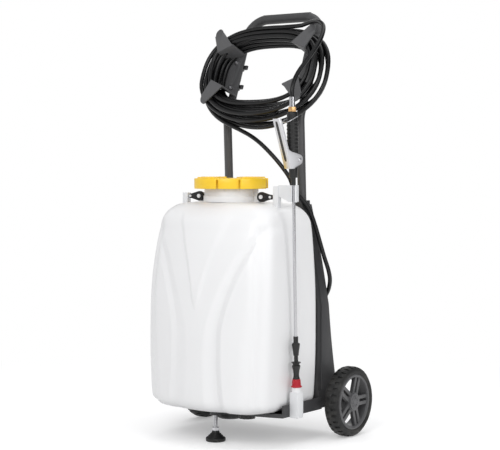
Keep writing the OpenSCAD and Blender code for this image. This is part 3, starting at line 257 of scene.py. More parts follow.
def through(points, steps):
    """A smooth curve through a list of points."""
    p = [np.array(q, float) for q in points]
    out = []
    for i in range(len(p) - 1):
        a, b, c, d = p[max(i - 1, 0)], p[i], p[i + 1], p[min(i + 2, len(p) - 1)]
        for k in range(steps):
            t = k / steps
            out.append(0.5 * (2 * b + (c - a) * t + (2 * a - 5 * b + 4 * c - d) * t * t
                              + (3 * b - a - 3 * c + d) * t ** 3))
    return out + [p[-1]]


def ease(t):
    """Smooth step from 0 to 1."""
    t = min(1.0, max(0.0, t))
    return t * t * (3 - 2 * t)


def soft_lookup(table, x):
    """A smooth curve through a table of places and values."""
    if x <= table[0][0]:
        return table[0][1]
    if x >= table[-1][0]:
        return table[-1][1]
    slopes = [(b[1] - a[1]) / (b[0] - a[0]) for a, b in zip(table, table[1:])]
    bends = [slopes[0]] + [(p + q) / 2 if p * q > 0 else 0.0 for p, q in zip(slopes, slopes[1:])]
    bends.append(slopes[-1])
    for i, (a, b) in enumerate(zip(table, table[1:])):
        if x <= b[0]:
            w = b[0] - a[0]
            t = (x - a[0]) / w
            return ((2 * t ** 3 - 3 * t * t + 1) * a[1] + (t ** 3 - 2 * t * t + t) * w * bends[i]
                    + (3 * t * t - 2 * t ** 3) * b[1] + (t ** 3 - t * t) * w * bends[i + 1])


# --- Frames of the cart, in millimetres ---------------------------------------------------------

LEG_X, BEND_Y, BEND_Z = 116.5, 73.5, 812.0
LEG_LEAN, TOP_LEAN = math.radians(2.45), math.radians(21.4)
TOP_LENGTH, CORNER_R, BEND_BACK, TUBE_R = 283.5, 56.0, 12.67, 11.0
HOLDER_V = 117.5
LANCE_TILT, LEVER_TURN = math.radians(1.65), math.radians(70)
GRIP_FROM, GRIP_LONG = 536.0, 135


def on_top(x, y, v):
    """A point in the frame of the handle's leaning part, in metres: y forwards is negative."""
    return (x * MM, (BEND_Y + y * math.cos(TOP_LEAN) + v * math.sin(TOP_LEAN)) * MM,
            (BEND_Z - y * math.sin(TOP_LEAN) + v * math.cos(TOP_LEAN)) * MM)


LANCE = (Matrix.Translation((0.207, -0.072, 0.148)) @ Matrix.Rotation(LANCE_TILT, 4, "X")
         @ Matrix.Scale(MM, 4))
LEVER = LANCE @ Matrix.Rotation(LEVER_TURN, 4, "Z")


# --- Camera, lights and floor -------------------------------------------------------------------

CAMERA_PLACE, CAMERA_DIP, CAMERA_TURN, CAMERA_LENS = (2.1797, -2.9188, 0.7019), 2.6, 36.6, 102.6
# Lamps: name, place, height of the point they face, width and power.
LAMPS = (("key", (0.9, -3.2, 2.2), 0.6, 1.8, 44), ("side", (2.9, -0.6, 1.5), 0.6, 1.6, 20),
         ("above", (0.2, 0.4, 2.9), 0.5, 2.2, 16), ("behind", (-1.6, 2.6, 1.7), 0.6, 1.6, 12))

def area_light(name, place, aim, size, watts):
    """A square soft light that points at the cart at a height."""
    data = bpy.data.lights.new(name, "AREA")
    data.size = size
    data.energy = watts
    lamp = bpy.data.objects.new(name, data)
    bpy.context.scene.collection.objects.link(lamp)
    lamp.location = place
    lamp.rotation_euler = (Vector((0, 0, aim)) - Vector(place)).to_track_quat("-Z", "Y").to_euler()


class CART_OT_stage(bpy.types.Operator):
    """Camera, lights, world and the pale floor"""

    bl_idname = "cart.stage"
    bl_label = "Stage"

    def execute(self, context):
        scene = context.scene
        scene.view_settings.view_transform = "Standard"
        data = bpy.data.cameras.new("camera")
        data.lens, data.sensor_width = CAMERA_LENS, 36.0
        camera = bpy.data.objects.new("camera", data)
        scene.collection.objects.link(camera)
        camera.location = CAMERA_PLACE
        camera.rotation_euler = (math.radians(90 - CAMERA_DIP), 0, math.radians(CAMERA_TURN))
        scene.camera = camera

        for lamp in LAMPS:
            area_light(*lamp)

        world = bpy.data.worlds.new("studio")
        world.use_nodes = True
        scene.world = world
        sky = Finish(world.node_tree)
        path = sky.node("ShaderNodeLightPath")
        seen = path.of("Is Camera Ray").greater(path.of("Is Transmission Ray"))
        heading = sky.node("ShaderNodeTexCoord").of("Generated")
        parts = sky.node("ShaderNodeSeparateXYZ", None, [heading])
        # Mirrors see a bright room with darker walls low down and to the sides.
        wave = sky.node("ShaderNodeMath", {"operation": "SINE"},
                        [parts.of("X") * 5.0 + parts.of("Y") * 2.0])
        band = (wave * 0.5 + 0.5) ** 2.2
        room = sky.mix((0.04, 0.04, 0.045, 1), (0.85, 0.85, 0.85, 1), band)
        lit = sky.mix((0.62, 0.62, 0.63, 1), room, path.of("Is Glossy Ray"))
        shown = sky.mix(lit, (1, 1, 1, 1), seen)
        back = sky.node("ShaderNodeBackground", None, {"Color": shown, "Strength": 1.0})
        sky.tree.links.new(back.socket, sky.node("ShaderNodeOutputWorld").owner.inputs["Surface"])

        bpy.ops.object.select_all(action="DESELECT")
        bpy.ops.mesh.primitive_circle_add(vertices=96, radius=9, fill_type="NGON")
        floor = settle("floor")
        material = bpy.data.materials.new("pale_floor")
        material.use_nodes = True
        pale = Finish(material.node_tree)
        path = pale.node("ShaderNodeLightPath")
        seen = path.of("Is Camera Ray") + path.of("Is Glossy Ray") + path.of("Is Transmission Ray")
        place = pale.node("ShaderNodeTexCoord").of("Object")
        reach = pale.node("ShaderNodeVectorMath", {"operation": "LENGTH"}, [place]).of("Value")
        far = pale.node("ShaderNodeMapRange", {"interpolation_type": "SMOOTHSTEP"},
                        {"Value": reach, "From Min": 0.5, "From Max": 1.5}).clamp()
        plain = pale.node("ShaderNodeBsdfDiffuse", None, {"Color": (0.82, 0.82, 0.82, 1)})
        lift = pale.node("ShaderNodeEmission", None, {"Color": (1, 1, 1, 1), "Strength": 0.30})
        lifted = pale.node("ShaderNodeAddShader", None, [plain, lift])
        white = pale.node("ShaderNodeEmission", None, {"Color": (1, 1, 1, 1), "Strength": 1.0})
        near = pale.node("ShaderNodeMixShader", None, [far, lifted, white])
        bounce = pale.node("ShaderNodeBsdfDiffuse", None, {"Color": (0.70, 0.70, 0.70, 1)})
        result = pale.node("ShaderNodeMixShader", None, [seen.clamp(), bounce, near])
        pale.tree.links.new(result.socket, pale.node("ShaderNodeOutputMaterial").owner.inputs["Surface"])
        floor.data.materials.append(material)
        return {"FINISHED"}


# --- Finishes ----------------------------------------------------------------------------------


class Value:
    """A socket that can be added, multiplied, raised and compared."""

    def __init__(self, finish, owner, socket):
        self.finish, self.owner, self.socket = finish, owner, socket

    def of(self, name):
        """Another output of the same node."""
        return Value(self.finish, self.owner, self.owner.outputs[name])

    def _maths(self, operation, first, second):
        return self.finish.node("ShaderNodeMath", {"operation": operation}, [first, second])

    def __add__(self, other):
        return self._maths("ADD", self, other)

    def __mul__(self, other):
        return self._maths("MULTIPLY", self, other)

    def __pow__(self, other):
        return self._maths("POWER", self, other)

    def greater(self, other):
        """The larger of two values."""
        return self._maths("MAXIMUM", self, other)

    def clamp(self):
        """The value, kept between 0 and 1."""
        return self.finish.node("ShaderNodeClamp", None, [self, 0.0, 1.0])


class Finish:
    """A node tree that is being put together."""

    def __init__(self, tree):
        self.tree = tree
        tree.nodes.clear()

    def node(self, kind, settings=None, inputs=()):
        """Adds a node: its settings first, then the values or links of its inputs."""
        new = self.tree.nodes.new(kind)
        for key, value in (settings or {}).items():
            if key == "stops":
                while len(new.color_ramp.elements) < len(value):
                    new.color_ramp.elements.new(0.5)
                for element, (position, tone) in zip(new.color_ramp.elements, value):
                    element.position, element.color = position, (tone, tone, tone, 1)
            else:
                setattr(new, key, value)
        for key, value in (inputs.items() if isinstance(inputs, dict) else enumerate(inputs)):
            if isinstance(value, Value):
                self.tree.links.new(value.socket, new.inputs[key])
            else:
                new.inputs[key].default_value = value
        return Value(self, new, new.outputs[0] if new.outputs else None)

    def mix(self, a, b, factor):
        """A colour between two colours."""
        made = self.node("ShaderNodeMix", {"data_type": "RGBA"}, {0: factor, 6: a, 7: b})
        return Value(self, made.owner, made.owner.outputs[2])

    def noise(self, scale, detail=2.0, stretch=None):
        """Cloudy noise from 0 to 1 over the object."""
        place = self.node("ShaderNodeTexCoord").of("Object")
        if stretch:
            place = self.node("ShaderNodeMapping", None, {"Vector": place, "Scale": stretch})
        return self.node("ShaderNodeTexNoise", None, {"Vector": place, "Scale": scale, "Detail": detail})

    def height(self):
        """Height over the floor, in metres."""
        place = self.node("ShaderNodeTexCoord").of("Object")
        return self.node("ShaderNodeSeparateXYZ", None, [place]).of("Z")


def finish_of(name, base, rough, metal=0.0, fleck=0.10, cloud=9.0, grain=700.0, depth=0.00008,
              dust=0.0, spread=0.06, stretch=None, coat=0.0, fixed=None, edge=0.0):
    """A moulded, coated or metal finish: clouded colour, uneven gloss, grain, a little dust and, where asked,
    a painted highlight along raised edges.
    """
    material = bpy.data.materials.new(name)
    material.use_nodes = True
    f = Finish(material.node_tree)
    dark = tuple(c * (1 - fleck) for c in base) + (1,)
    light = tuple(min(1.0, c * (1 + fleck)) for c in base) + (1,)
    cloudy = f.noise(cloud, 4.0)
    tone = f.mix(dark, light, cloudy)
    if dust:
        # Fine dust gathers low down and in patches.
        low = f.node("ShaderNodeMapRange", None,
                     {"Value": f.height(), "From Min": 0.28, "From Max": 0.0, "To Min": 0.15, "To Max": 1.0})
        patch = f.node("ShaderNodeValToRGB", {"stops": [(0.42, 0.0), (0.75, 1.0)]}, [f.noise(31.0, 5.0)])
        tone = f.mix(tone, (0.22, 0.21, 0.19, 1), low * patch.of("Color") * dust)
    if edge:
        # Raised edges are painted paler as a highlight.
        edge_sharpness = f.node("ShaderNodeNewGeometry").of("Pointiness")
        painted_edge_highlight = f.node("ShaderNodeValToRGB", {"stops": [(0.51, 0.0), (0.60, 1.0)]}, [edge_sharpness])
        tone = f.mix(tone, tuple(min(1.0, c * 2.2 + 0.02) for c in base) + (1,), painted_edge_highlight.of("Color") * edge)
    gloss = f.noise(cloud * 2.3, 3.0) * (2 * spread) + (rough - spread)
    fine = f.noise(grain, 2.0, stretch)
    bump = f.node("ShaderNodeBump", None, {"Strength": 0.6, "Distance": depth, "Height": fine})
    sockets = {"Base Color": tone, "Roughness": gloss, "Metallic": metal, "Normal": bump}
    if coat:
        sockets["Coat Weight"] = coat
        sockets["Coat Roughness"] = 0.12
    sockets.update(fixed or {})
    shader = f.node("ShaderNodeBsdfPrincipled", None, sockets)
    f.tree.links.new(shader.socket, f.node("ShaderNodeOutputMaterial").owner.inputs["Surface"])
    return material


class CART_OT_finishes(bpy.types.Operator):
    """Materials for every slot, and their place on pieces and solids"""

    bl_idname = "cart.finishes"
    bl_label = "Finishes"

    def execute(self, context):
        c = context.scene.cart_colours
        # edge= paints a highlight along the raised edges of the chassis, holders, rims and black mouldings.
        made = {
            "white": finish_of("blow_moulded_tank", c.tank, 0.36, fleck=0.012, cloud=5.0, grain=90.0,
                               depth=0.00025, spread=0.05),
            "white_small": finish_of("white_moulding", c.fittings, 0.40, fleck=0.02, grain=400.0),
            "yellow": finish_of("yellow_lid", c.lid, 0.34, fleck=0.05, grain=500.0, depth=0.00005),
            "frame": finish_of("moulded_chassis", c.chassis, 0.46, fleck=0.14, grain=900.0, depth=0.00016,
                               dust=0.10, edge=0.25),
            "frame_small": finish_of("moulded_fitting", c.chassis, 0.44, fleck=0.12, grain=900.0,
                                     depth=0.00014),
            "tube": finish_of("coated_tube", c.tube, 0.36, fleck=0.06, grain=1200.0, depth=0.00006,
                              coat=0.15),
            # The grip sleeve's colour is the tube's darkened to 0.8: painted shade of the handle's top bar.
            "grip": finish_of("grip_sleeve", tuple(0.8 * x for x in c.tube), 0.50, fleck=0.10,
                              grain=1100.0, depth=0.00014),
            "holder": finish_of("coated_sheet", c.holder, 0.52, fleck=0.16, grain=1500.0, depth=0.0002,
                                edge=0.35),
            "rim": finish_of("rim_moulding", c.rim, 0.38, fleck=0.10, grain=900.0, depth=0.00008,
                             dust=0.08, edge=0.3),
            "tyre": finish_of("tyre_rubber", c.rubber, 0.62, fleck=0.30, grain=800.0, depth=0.0002,
                              dust=0.30, spread=0.10),
            "rubber": finish_of("soft_rubber", c.rubber, 0.50, fleck=0.25, grain=900.0, depth=0.0001),
            "hose": finish_of("hose_jacket", c.hose, 0.30, fleck=0.30, grain=600.0, depth=0.0001,
                              spread=0.07, fixed={"Specular IOR Level": 0.4}),
            "black": finish_of("black_moulding", tuple(1.3 * x for x in c.rubber), 0.38, fleck=0.2,
                               grain=900.0, depth=0.00012, edge=0.2),
            "battery": finish_of("battery_case", (0.03, 0.033, 0.04), 0.40, fleck=0.15),
            "red": finish_of("red_cap", c.red, 0.36, fleck=0.10, grain=700.0),
            "steel": finish_of("plated_steel", (0.60, 0.60, 0.62), 0.30, 1.0, fleck=0.08, grain=500.0,
                               stretch=(1, 1, 0.1)),
            "bright": finish_of("polished_steel", (0.60, 0.60, 0.62), 0.20, 1.0, fleck=0.03, grain=300.0,
                                depth=0.00003, spread=0.04, stretch=(1, 1, 0.05)),
            "pressed": finish_of("pressed_steel", (0.68, 0.68, 0.70), 0.36, 1.0, fleck=0.03, grain=300.0,
                                 depth=0.00003, spread=0.04, stretch=(1, 1, 0.05)),
            "brass": finish_of("turned_brass", c.brass, 0.28, 1.0, fleck=0.08, grain=900.0,
                               stretch=(1, 1, 6)),
            "motor": finish_of("drawn_can", (0.42, 0.43, 0.45), 0.34, 1.0, fleck=0.08,
                               stretch=(0.1, 1, 1)),
        }
        for obj in bpy.data.objects:
            if obj.type not in ("MESH", "CURVE") or obj.name == "floor":
                continue
            finish = SLOTS.get(obj.name) or obj.get("cart_finish") or obj.get("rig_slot")
            if finish is None:
                continue
            material = made[finish]
            if not obj.data.materials:
                obj.data.materials.append(material)
            for holder in obj.material_slots:
                holder.link = "OBJECT" if obj.name in NODES else holder.link
                holder.material = material
        return {"FINISHED"}


# --- Hose --------------------------------------------------------------------------------------

# From the outlet on the rear housing up past the right socket to the bottom of the coil.
FEED = [(118, 98, 200), (118, 98, 232), (118.5, 100, 262), (123, 106, 292), (134, 115, 318),
        (152, 121, 342), (171, 119, 366), (184, 110, 394), (187, 99, 422), (178, 93, 456),
        (166, 89, 498), (156, 82, 540), (148, 71, 574), (137, 60, 598), (124, 52, 616), (113, 46, 636),
        (104, 42, 660), (78, 35, 695), (42, 31, 730), (14, 29, 752), (-12, 29, 767), (-40, 28, 780)]
# From the coil's upper right corner forwards and down to the ferrule on the lance.
LOOSE_END = [(106, 96, 1046), (145, 84, 1052), (180, 62, 1049), (208, 40, 1036), (222, 18, 1016),
             (226, -4, 992), (222, -26, 966), (215, -48, 940), (209, -70, 914), (207, -86, 890),
             (207, -92.9, 870), (207, -92.4, 854.9)]
# Lanes of the coil, in order: how far out, in steps from the inner oval to the outer one, and in
# which row from the back to the front.
LANES = [(14, 2), (12, 1), (10, 0), (5, 0), (0, 0), (2, 1), (7, 1), (9, 2), (4, 2), (1, 3), (6, 3),
         (3, 4), (8, 4), (11, 3), (13, 4)]
BACK_ROW, ROW_STEP, OUT_STEPS = -21.0, 11.5, 14
# Ovals that the lanes lie between: middle, half width, lowest and highest height, boxiness above
# and below the middle.
INNER_OVAL = (0.0, 143.0, 27.0, 193.0, 0.72, 0.72)
OUTER_OVAL = (10.6, 190.6, -48.0, 226.0, 0.78, 1.0)
# Part of the step between two changes of lane that a change takes, and how far a turn strays.
LANE_CHANGE, SAG = 2.2, 0.011


def coil_point(angle, out, depth):
    """A point of the coil at an angle, out from 0 on the inner oval to 1 on the outer one."""
    c, s = math.cos(math.radians(angle)), math.sin(math.radians(angle))
    ends = []
    for middle, half_w, low, high, above, below in (INNER_OVAL, OUTER_OVAL):
        power = above if s > 0 else below
        ends.append((middle + half_w * math.copysign(abs(c) ** power, c),
                     (low + high) / 2 + (high - low) / 2 * math.copysign(abs(s) ** power, s)))
    x, v = (a + (b - a) * out for a, b in zip(*ends))
    return on_top(x, depth, v)


def coil_path(start=238.0, finish=80.0, turns=13, steps=72):
    """The turns of the coil, clockwise from the bottom; one turn after another changes its lane."""
    whole = start - finish + 360.0 * turns
    share = 1.0 / (len(LANES) + 0.5)
    change = LANE_CHANGE * share
    points = []
    for k in range(int(whole / 360.0 * steps) + 1):
        t = k / steps
        lane = min(int(t) + 1, len(LANES) - 1)
        blend = ease((t + 1 - lane - (len(LANES) - 1 - lane) * share) / change)
        (o0, d0), (o1, d1) = LANES[lane - 1], LANES[lane]
        sag = SAG * math.sin(2.7 * math.pi * t + 1.0)
        out = min(1.0, max(0.0, (o0 + (o1 - o0) * blend) / OUT_STEPS + sag))
        points.append(coil_point(start - 360.0 * t, out, BACK_ROW - ROW_STEP * (d0 + (d1 - d0) * blend)))
    return points


class CART_OT_hose(bpy.types.Operator):
    """Spray hose: feed, hanging coil and the loose end to the lance"""

    bl_idname = "cart.hose"
    bl_label = "Hose"

    def execute(self, context):
        wide = context.scene.cart_sizes.hose_diameter
        feed = through([(x * MM, y * MM, z * MM) for x, y, z in FEED], 6)
        coil = coil_path()
        joint = through([feed[-7], feed[-1], coil[0], coil[3]], 8)[8:16]
        leave = through([coil[-5], coil[-1], np.array(LOOSE_END[0]) * MM, np.array(LOOSE_END[1]) * MM],
                        8)[9:16]
        run = feed[:-1] + joint + coil + leave + [np.array(LOOSE_END[0]) * MM]
        run = [tuple(float(v) for v in p) for p in run]
        hose = tube("hose_run", run, wide / 2, 14)
        fit(hose, "hose", "hose_coil", "hose_feed")
        size = sum(math.dist(a, b) for a, b in zip(run, run[1:]))

        path = through([(x * MM, y * MM, z * MM) for x, y, z in LOOSE_END], 6)
        end = tube("hose_loose_end", path, wide / 2, 16)
        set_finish(end, "hose")
        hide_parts("hose_end")
        nut = fit(copy_of("hose_nut", "hose_nut_turned", 0.0006), "brass", "hose_nut")
        size = sum(float(np.linalg.norm(a - b)) for a, b in zip(path, path[1:]))
        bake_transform(end)
        return {"FINISHED"}


# --- Tank --------------------------------------------------------------------------------------

# Sizes of the tank: half its width, its front and back, floor and top, and the radii of its upright
# corners and of the edge round its floor.
TANK_HALF_W, TANK_FRONT, TANK_BACK, TANK_FLOOR, TANK_TOP = 190, -215, 57, 85, 595
FRONT_R, BACK_R, FLOOR_R, FRONT_BOW = 48, 30, 26, 34
SHOULDER_FROM, SHOULDER_H, SHOULDER_W, SHOULDER_POWER = 537, 58, 56, 0.88
SUMP_Y, SUMP_R, NECK_Y, NECK_R, NECK_RISE, TANK_WALL = -68, 17.5, -62, 60.0, 3, 3.5
# By height: how far the sides and the front lie in from those sizes, the middle of the sweeping
# step, and the panel's edge.
TANK_SIDE = [(85, -7), (120, -5), (200, -1), (290, 0), (380, -1), (450, -5), (510, -10), (540, -14),
             (600, -22)]
SWEEP = [(85, 80), (122, 75), (200, 69), (272, 68), (340, 80), (401, 101), (460, 128), (512, 162),
         (560, 192)]
TANK_LEAN = [(85, 2), (130, 0), (250, 1), (350, 6), (430, 14), (500, 26), (540, 36), (600, 46)]
PANEL_EDGE = [(335, 0), (350, 6), (405, 19), (470, 39), (544, 66), (600, 86)]


def tank_relief(x, z, groove, panel):
    """How far the tank's front lies behind its plain form at a place: grooves and the panel."""
    ax = abs(x)
    wide = TANK_HALF_W + soft_lookup(TANK_SIDE, z)
    fade = ease((562 - z) / 44)
    low = ease((430 - z) / 260)
    # Sweeping step: the front slopes in gently from the middle and comes back in a short steep face.
    u = ax - soft_lookup(SWEEP, z) + 8.5
    run_in, run_out = 26 + 16 * low, 17
    depth = ease(1 + u / run_in) if u < 0 else min(1.0, max(0.0, 1 - u / run_out))
    sweep = fade * depth * groove * (1.45 if x > 0 else 0.45)
    middle, spread = wide - 23 - 3 * low, 13 + 9 * low
    corner = math.exp(-((ax - middle) / spread) ** 2) * fade * groove * (1.35 + 0.25 * low)
    # Panel between two creases that run together at half the tank's height.
    edge = soft_lookup(PANEL_EDGE, z)
    soft = 4 + 0.12 * edge + (0.22 * edge + 6 if x > 0 else 0)
    rise = ease((z - 320) / 60) * ease((edge + soft / 2 - ax) / soft) * ease((585 - z) / 30)
    return max(sweep, corner) - panel * rise


def tank_ring(z, inset, relief, share, groove, panel):
    """Outline of the tank at a height, drawn in by an inset, less so at front and back."""
    w = TANK_HALF_W + soft_lookup(TANK_SIDE, z) - inset
    f = TANK_FRONT + soft_lookup(TANK_LEAN, z) + inset * share
    b = TANK_BACK - inset * share
    rf, rb, bow = FRONT_R, BACK_R, FRONT_BOW * w / TANK_HALF_W
    slope = math.atan(2 * bow * (w - 0.7 * rf) / (w * w))
    xe = w - rf + rf * math.sin(slope)
    yc = f + bow * (xe / w) ** 2 + rf * math.cos(slope)
    halves = []
    for side in (1, -1):
        half = []
        for i in range(61):
            x = xe * i / 60
            half.append((side * x, f + bow * (x / w) ** 2 + relief * tank_relief(side * x, z, groove, panel)))
        for i in range(1, 13):
            a = slope - math.pi / 2 + (math.pi / 2 - slope) * i / 12
            x = w - rf + rf * math.cos(a)
            d = relief * max(0.0, tank_relief(side * x, z, groove, panel))
            half.append((side * (x - d * math.cos(a)), yc + rf * math.sin(a) - d * math.sin(a)))
        half += [(side * w, yc + (b - rb - yc) * i / 8) for i in range(1, 9)]
        half += [(side * (w - rb + rb * math.cos(a)), b - rb + rb * math.sin(a))
                 for a in (math.pi / 2 * i / 8 for i in range(1, 9))]
        half += [(side * (w - rb) * (1 - i / 4), b) for i in range(1, 5)]
        halves.append(half)
    right, left = halves
    return right + left[-2:0:-1]


def towards(outline, middle, radius, t):
    """A ring part of the way from an outline to a round hole."""
    out = []
    for x, y in outline:
        dx, dy = x, y - middle
        k = 1 - t + t * radius / math.hypot(dx, dy)
        out.append((dx * k, middle + dy * k))
    return out


def tank_rings(wall, groove, panel, levels, arcs):
    """Rings of the tank's surface, from the outlet's hole round to the neck's hole."""
    low_r, high_h, high_w = FLOOR_R - wall, SHOULDER_H - wall, SHOULDER_W - wall
    rings = []

    def add(z, outline):
        rings.append([(x * MM, y * MM, z * MM) for x, y in outline])

    base = tank_ring(TANK_FLOOR + wall, FLOOR_R, 1, 1, groove, panel)
    for t in (1.0, 0.66, 0.33):
        add(TANK_FLOOR + wall, towards(base, SUMP_Y, SUMP_R, t))
    for i in range(arcs + 1):
        a = math.pi / 2 * i / arcs
        z = TANK_FLOOR + wall + low_r * (1 - math.cos(a))
        add(z, tank_ring(z, wall + low_r * (1 - math.sin(a)), 1, 1, groove, panel))
    side_from = TANK_FLOOR + FLOOR_R
    for i in range(1, levels):
        z = side_from + (SHOULDER_FROM - side_from) * i / levels
        add(z, tank_ring(z, wall, 1, 1, groove, panel))
    for i in range(arcs * 2 + 1):
        a = math.pi / 2 * i / (arcs * 2)
        k = 1 - math.cos(a) ** SHOULDER_POWER
        z = SHOULDER_FROM + high_h * math.sin(a) ** SHOULDER_POWER
        add(z, tank_ring(z, wall + high_w * k, 1, 1 - 0.4 * k, groove, panel))
    top = tank_ring(TANK_TOP - wall, SHOULDER_W, 0, 0.6, groove, panel)
    for t in (0.25, 0.6, 1.0):
        add(TANK_TOP + NECK_RISE * min(1.0, t / 0.6) - wall, towards(top, NECK_Y, NECK_R, t))
    return rings


class CART_OT_tank(bpy.types.Operator):
    """Blow-moulded tank with its grooves and front panel, outside and inside"""

    bl_idname = "cart.tank"
    bl_label = "Tank"

    def execute(self, context):
        sizes = context.scene.cart_sizes
        groove, panel = sizes.groove / MM, sizes.panel / MM
        outer = tank_rings(0, groove, panel, 96, 7)
        inner = tank_rings(TANK_WALL, groove, panel, 16, 3)
        tank = wrap("tank_shell", outer + inner[::-1] + outer[:1])
        smooth(tank, 50)
        fit(tank, "white", "tank")
        return {"FINISHED"}


# --- Moulded and pressed parts ------------------------------------------------------------------


class CART_OT_chassis(bpy.types.Operator):
    """Tray, back frame, rear housing with its door and controls, and the pump's parts"""

    bl_idname = "cart.chassis"
    bl_label = "Chassis"

    def execute(self, context):
        edge = context.scene.cart_sizes.edge
        for node, width in (("base_tray", edge), ("back_frame", edge), ("rear_housing", edge * 1.6),
                            ("battery_door", edge), ("power_switch", edge * 0.6),
                            ("pressure_knob", edge * 0.5), ("charge_socket", edge * 0.5),
                            ("sump_bowl", edge), ("drain_cap", edge * 0.7), ("pump_head", edge),
                            ("battery_pack", edge)):
            fit(copy_of(node, node + "_moulding", width), SLOTS[node], node)
        return {"FINISHED"}


class CART_OT_fittings(bpy.types.Operator):
    """Neck, collar, lugs, straps, clip, rest and the lid with its lobes"""

    bl_idname = "cart.fittings"
    bl_label = "Fittings"

    def execute(self, context):
        edge = context.scene.cart_sizes.edge
        for node, width in (("tank_neck", edge * 0.6), ("neck_collar", edge * 0.8),
                            ("tank_lugs", edge * 1.6), ("lance_clip", edge * 0.7),
                            ("nozzle_rest", edge * 1.4), ("strap_left", edge * 1.2),
                            ("strap_right", edge * 1.2), ("lid", edge * 1.3), ("strainer", edge * 0.4)):
            fit(copy_of(node, node + "_moulding", width), SLOTS[node], node)
        return {"FINISHED"}


# Across and along the cart: the rims' inner ends, and the axle's place behind and above the floor.
RIM_X, AXLE = 0.2115, (0.126, 0.089)


class CART_OT_wheels(bpy.types.Operator):
    """Tyres with their lugs, dished rims with split spokes, and hub caps"""

    bl_idname = "cart.wheels"
    bl_label = "Wheels"

    def execute(self, context):
        edge = context.scene.cart_sizes.edge
        for side, name in ((-1, "left"), (1, "right")):
            fit(copy_of(f"{name}_tyre", f"{name}_tyre_tread", edge * 0.9), "tyre", f"{name}_tyre")
            fit(copy_of(f"{name}_rim", f"{name}_rim_spokes", edge * 1.1), "rim", f"{name}_rim")
            fit(copy_of(f"{name}_hub_cap", f"{name}_hub_badge", edge * 0.5), "rim", f"{name}_hub_cap")
            place = (Matrix.Translation((side * RIM_X, *AXLE))
                     @ Matrix.Rotation(side * math.pi / 2, 4, "Y") @ Matrix.Scale(MM, 4))
            lip = turned(f"{name}_rim_lip", [(62.5, 34.2), (64, 37.6), (66.5, 38.6), (69, 38.3), (70.6, 36.6),
                                             (69.8, 35.2), (66, 36.2), (64.2, 35), (62.5, 34.2)], 96, place)
            smooth(lip, 60)
            fit(lip, "rim", body=f"{name}_wheel")
        return {"FINISHED"}


# --- Handle and holders -------------------------------------------------------------------------


def handle_path():
    """The middle of the handle's tube, from the left socket over the top to the right one."""
    right = []
    for s in np.linspace((BEND_Z - 500) / math.cos(LEG_LEAN), BEND_BACK, 6):
        right.append((LEG_X, BEND_Y + s * math.sin(LEG_LEAN), BEND_Z - s * math.cos(LEG_LEAN)))
    a, b = np.array(right[-1]), np.array((LEG_X, BEND_Y, BEND_Z))
    c = np.array([v / MM for v in on_top(LEG_X, 0, BEND_BACK)])
    for t in np.linspace(0.1, 0.9, 9):
        right.append(tuple((1 - t) ** 2 * a + 2 * t * (1 - t) * b + t * t * c))
    right = [tuple(v * MM for v in p) for p in right]
    for v in np.linspace(BEND_BACK, TOP_LENGTH - CORNER_R, 8):
        right.append(on_top(LEG_X, 0, v))
    for a in np.linspace(5, 90, 18):
        right.append(on_top(LEG_X - CORNER_R + CORNER_R * math.cos(math.radians(a)), 0,
                            TOP_LENGTH - CORNER_R + CORNER_R * math.sin(math.radians(a))))
    return [(-x, y, z) for x, y, z in right] + right[::-1][1:]


def stretch_lips(obj, side):
    """Draws the lips at the ends of a holder's arms further out and a little inwards."""
    for vertex in obj.data.vertices:
        x, y, z = (v / MM for v in vertex.co)
        y, z = y - BEND_Y, z - BEND_Z
        depth = y * math.cos(TOP_LEAN) - z * math.sin(TOP_LEAN)
        v = y * math.sin(TOP_LEAN) + z * math.cos(TOP_LEAN) - HOLDER_V
        reach = (0.4 * (side * x - LEG_X) + 0.917 * (abs(v) - 51.5)) / 52
        if depth < -72.8 and reach > 0:
            vertex.co = on_top(x - side * 11 * reach, depth, HOLDER_V + v + math.copysign(10 * reach, v))


class CART_OT_handle(bpy.types.Operator):
    """Bent handle tube, its grip sleeve and the sheet metal hose holders"""

    bl_idname = "cart.handle"
    bl_label = "Handle"

    def execute(self, context):
        pressed = context.scene.cart_sizes.pressed
        path = handle_path()
        fit(tube("handle_tube", path, TUBE_R * MM, 32), "tube", "handle_leg_left", "handle_leg_right",
            "handle_bends", "handle_top")
        high = [p for p in path if p[2] >= on_top(0, 0, TOP_LENGTH - CORNER_R)[2] - 1e-6]
        high = through(high, 2)
        grow = [TUBE_R + 0.2, TUBE_R + 1.1, TUBE_R + 1.6]
        radii = [(TUBE_R + 1.62) * MM] * len(high)
        for i, r in enumerate(grow):
            radii[i] = radii[-1 - i] = r * MM
        fit(tube("grip_cover", high, radii, 32), "grip", "grip_sleeve")
        for node, side in (("holder_left", -1), ("holder_right", 1)):
            plate = copy_of(node, node + "_plate", pressed * 1.6)
            stretch_lips(plate, side)
            fit(plate, "holder", node)
        fit(copy_of("holder_clamps", "holder_clamp_straps", pressed * 1.6), "frame_small", "holder_clamps")
        fit(copy_of("holder_screws", "holder_screw_heads", pressed), "steel", "holder_screws")
        fit(copy_of("socket_bolts", "socket_bolt_heads", pressed), "steel", "socket_bolts")
        return {"FINISHED"}


# --- Lance ---------------------------------------------------------------------------------------


def stadium_ring(width, depth, z, place, count=48):
    """A flat oval ring at a height along the lance."""
    ring = []
    for k in range(count):
        a = 2 * math.pi * k / count
        x = (width - depth) / 2 * (1 if math.cos(a) > 0 else -1) * min(1.0, abs(math.cos(a)) * 3)
        ring.append(tuple(place @ Vector((x + depth / 2 * math.cos(a), depth / 2 * math.sin(a), z))))
    return ring


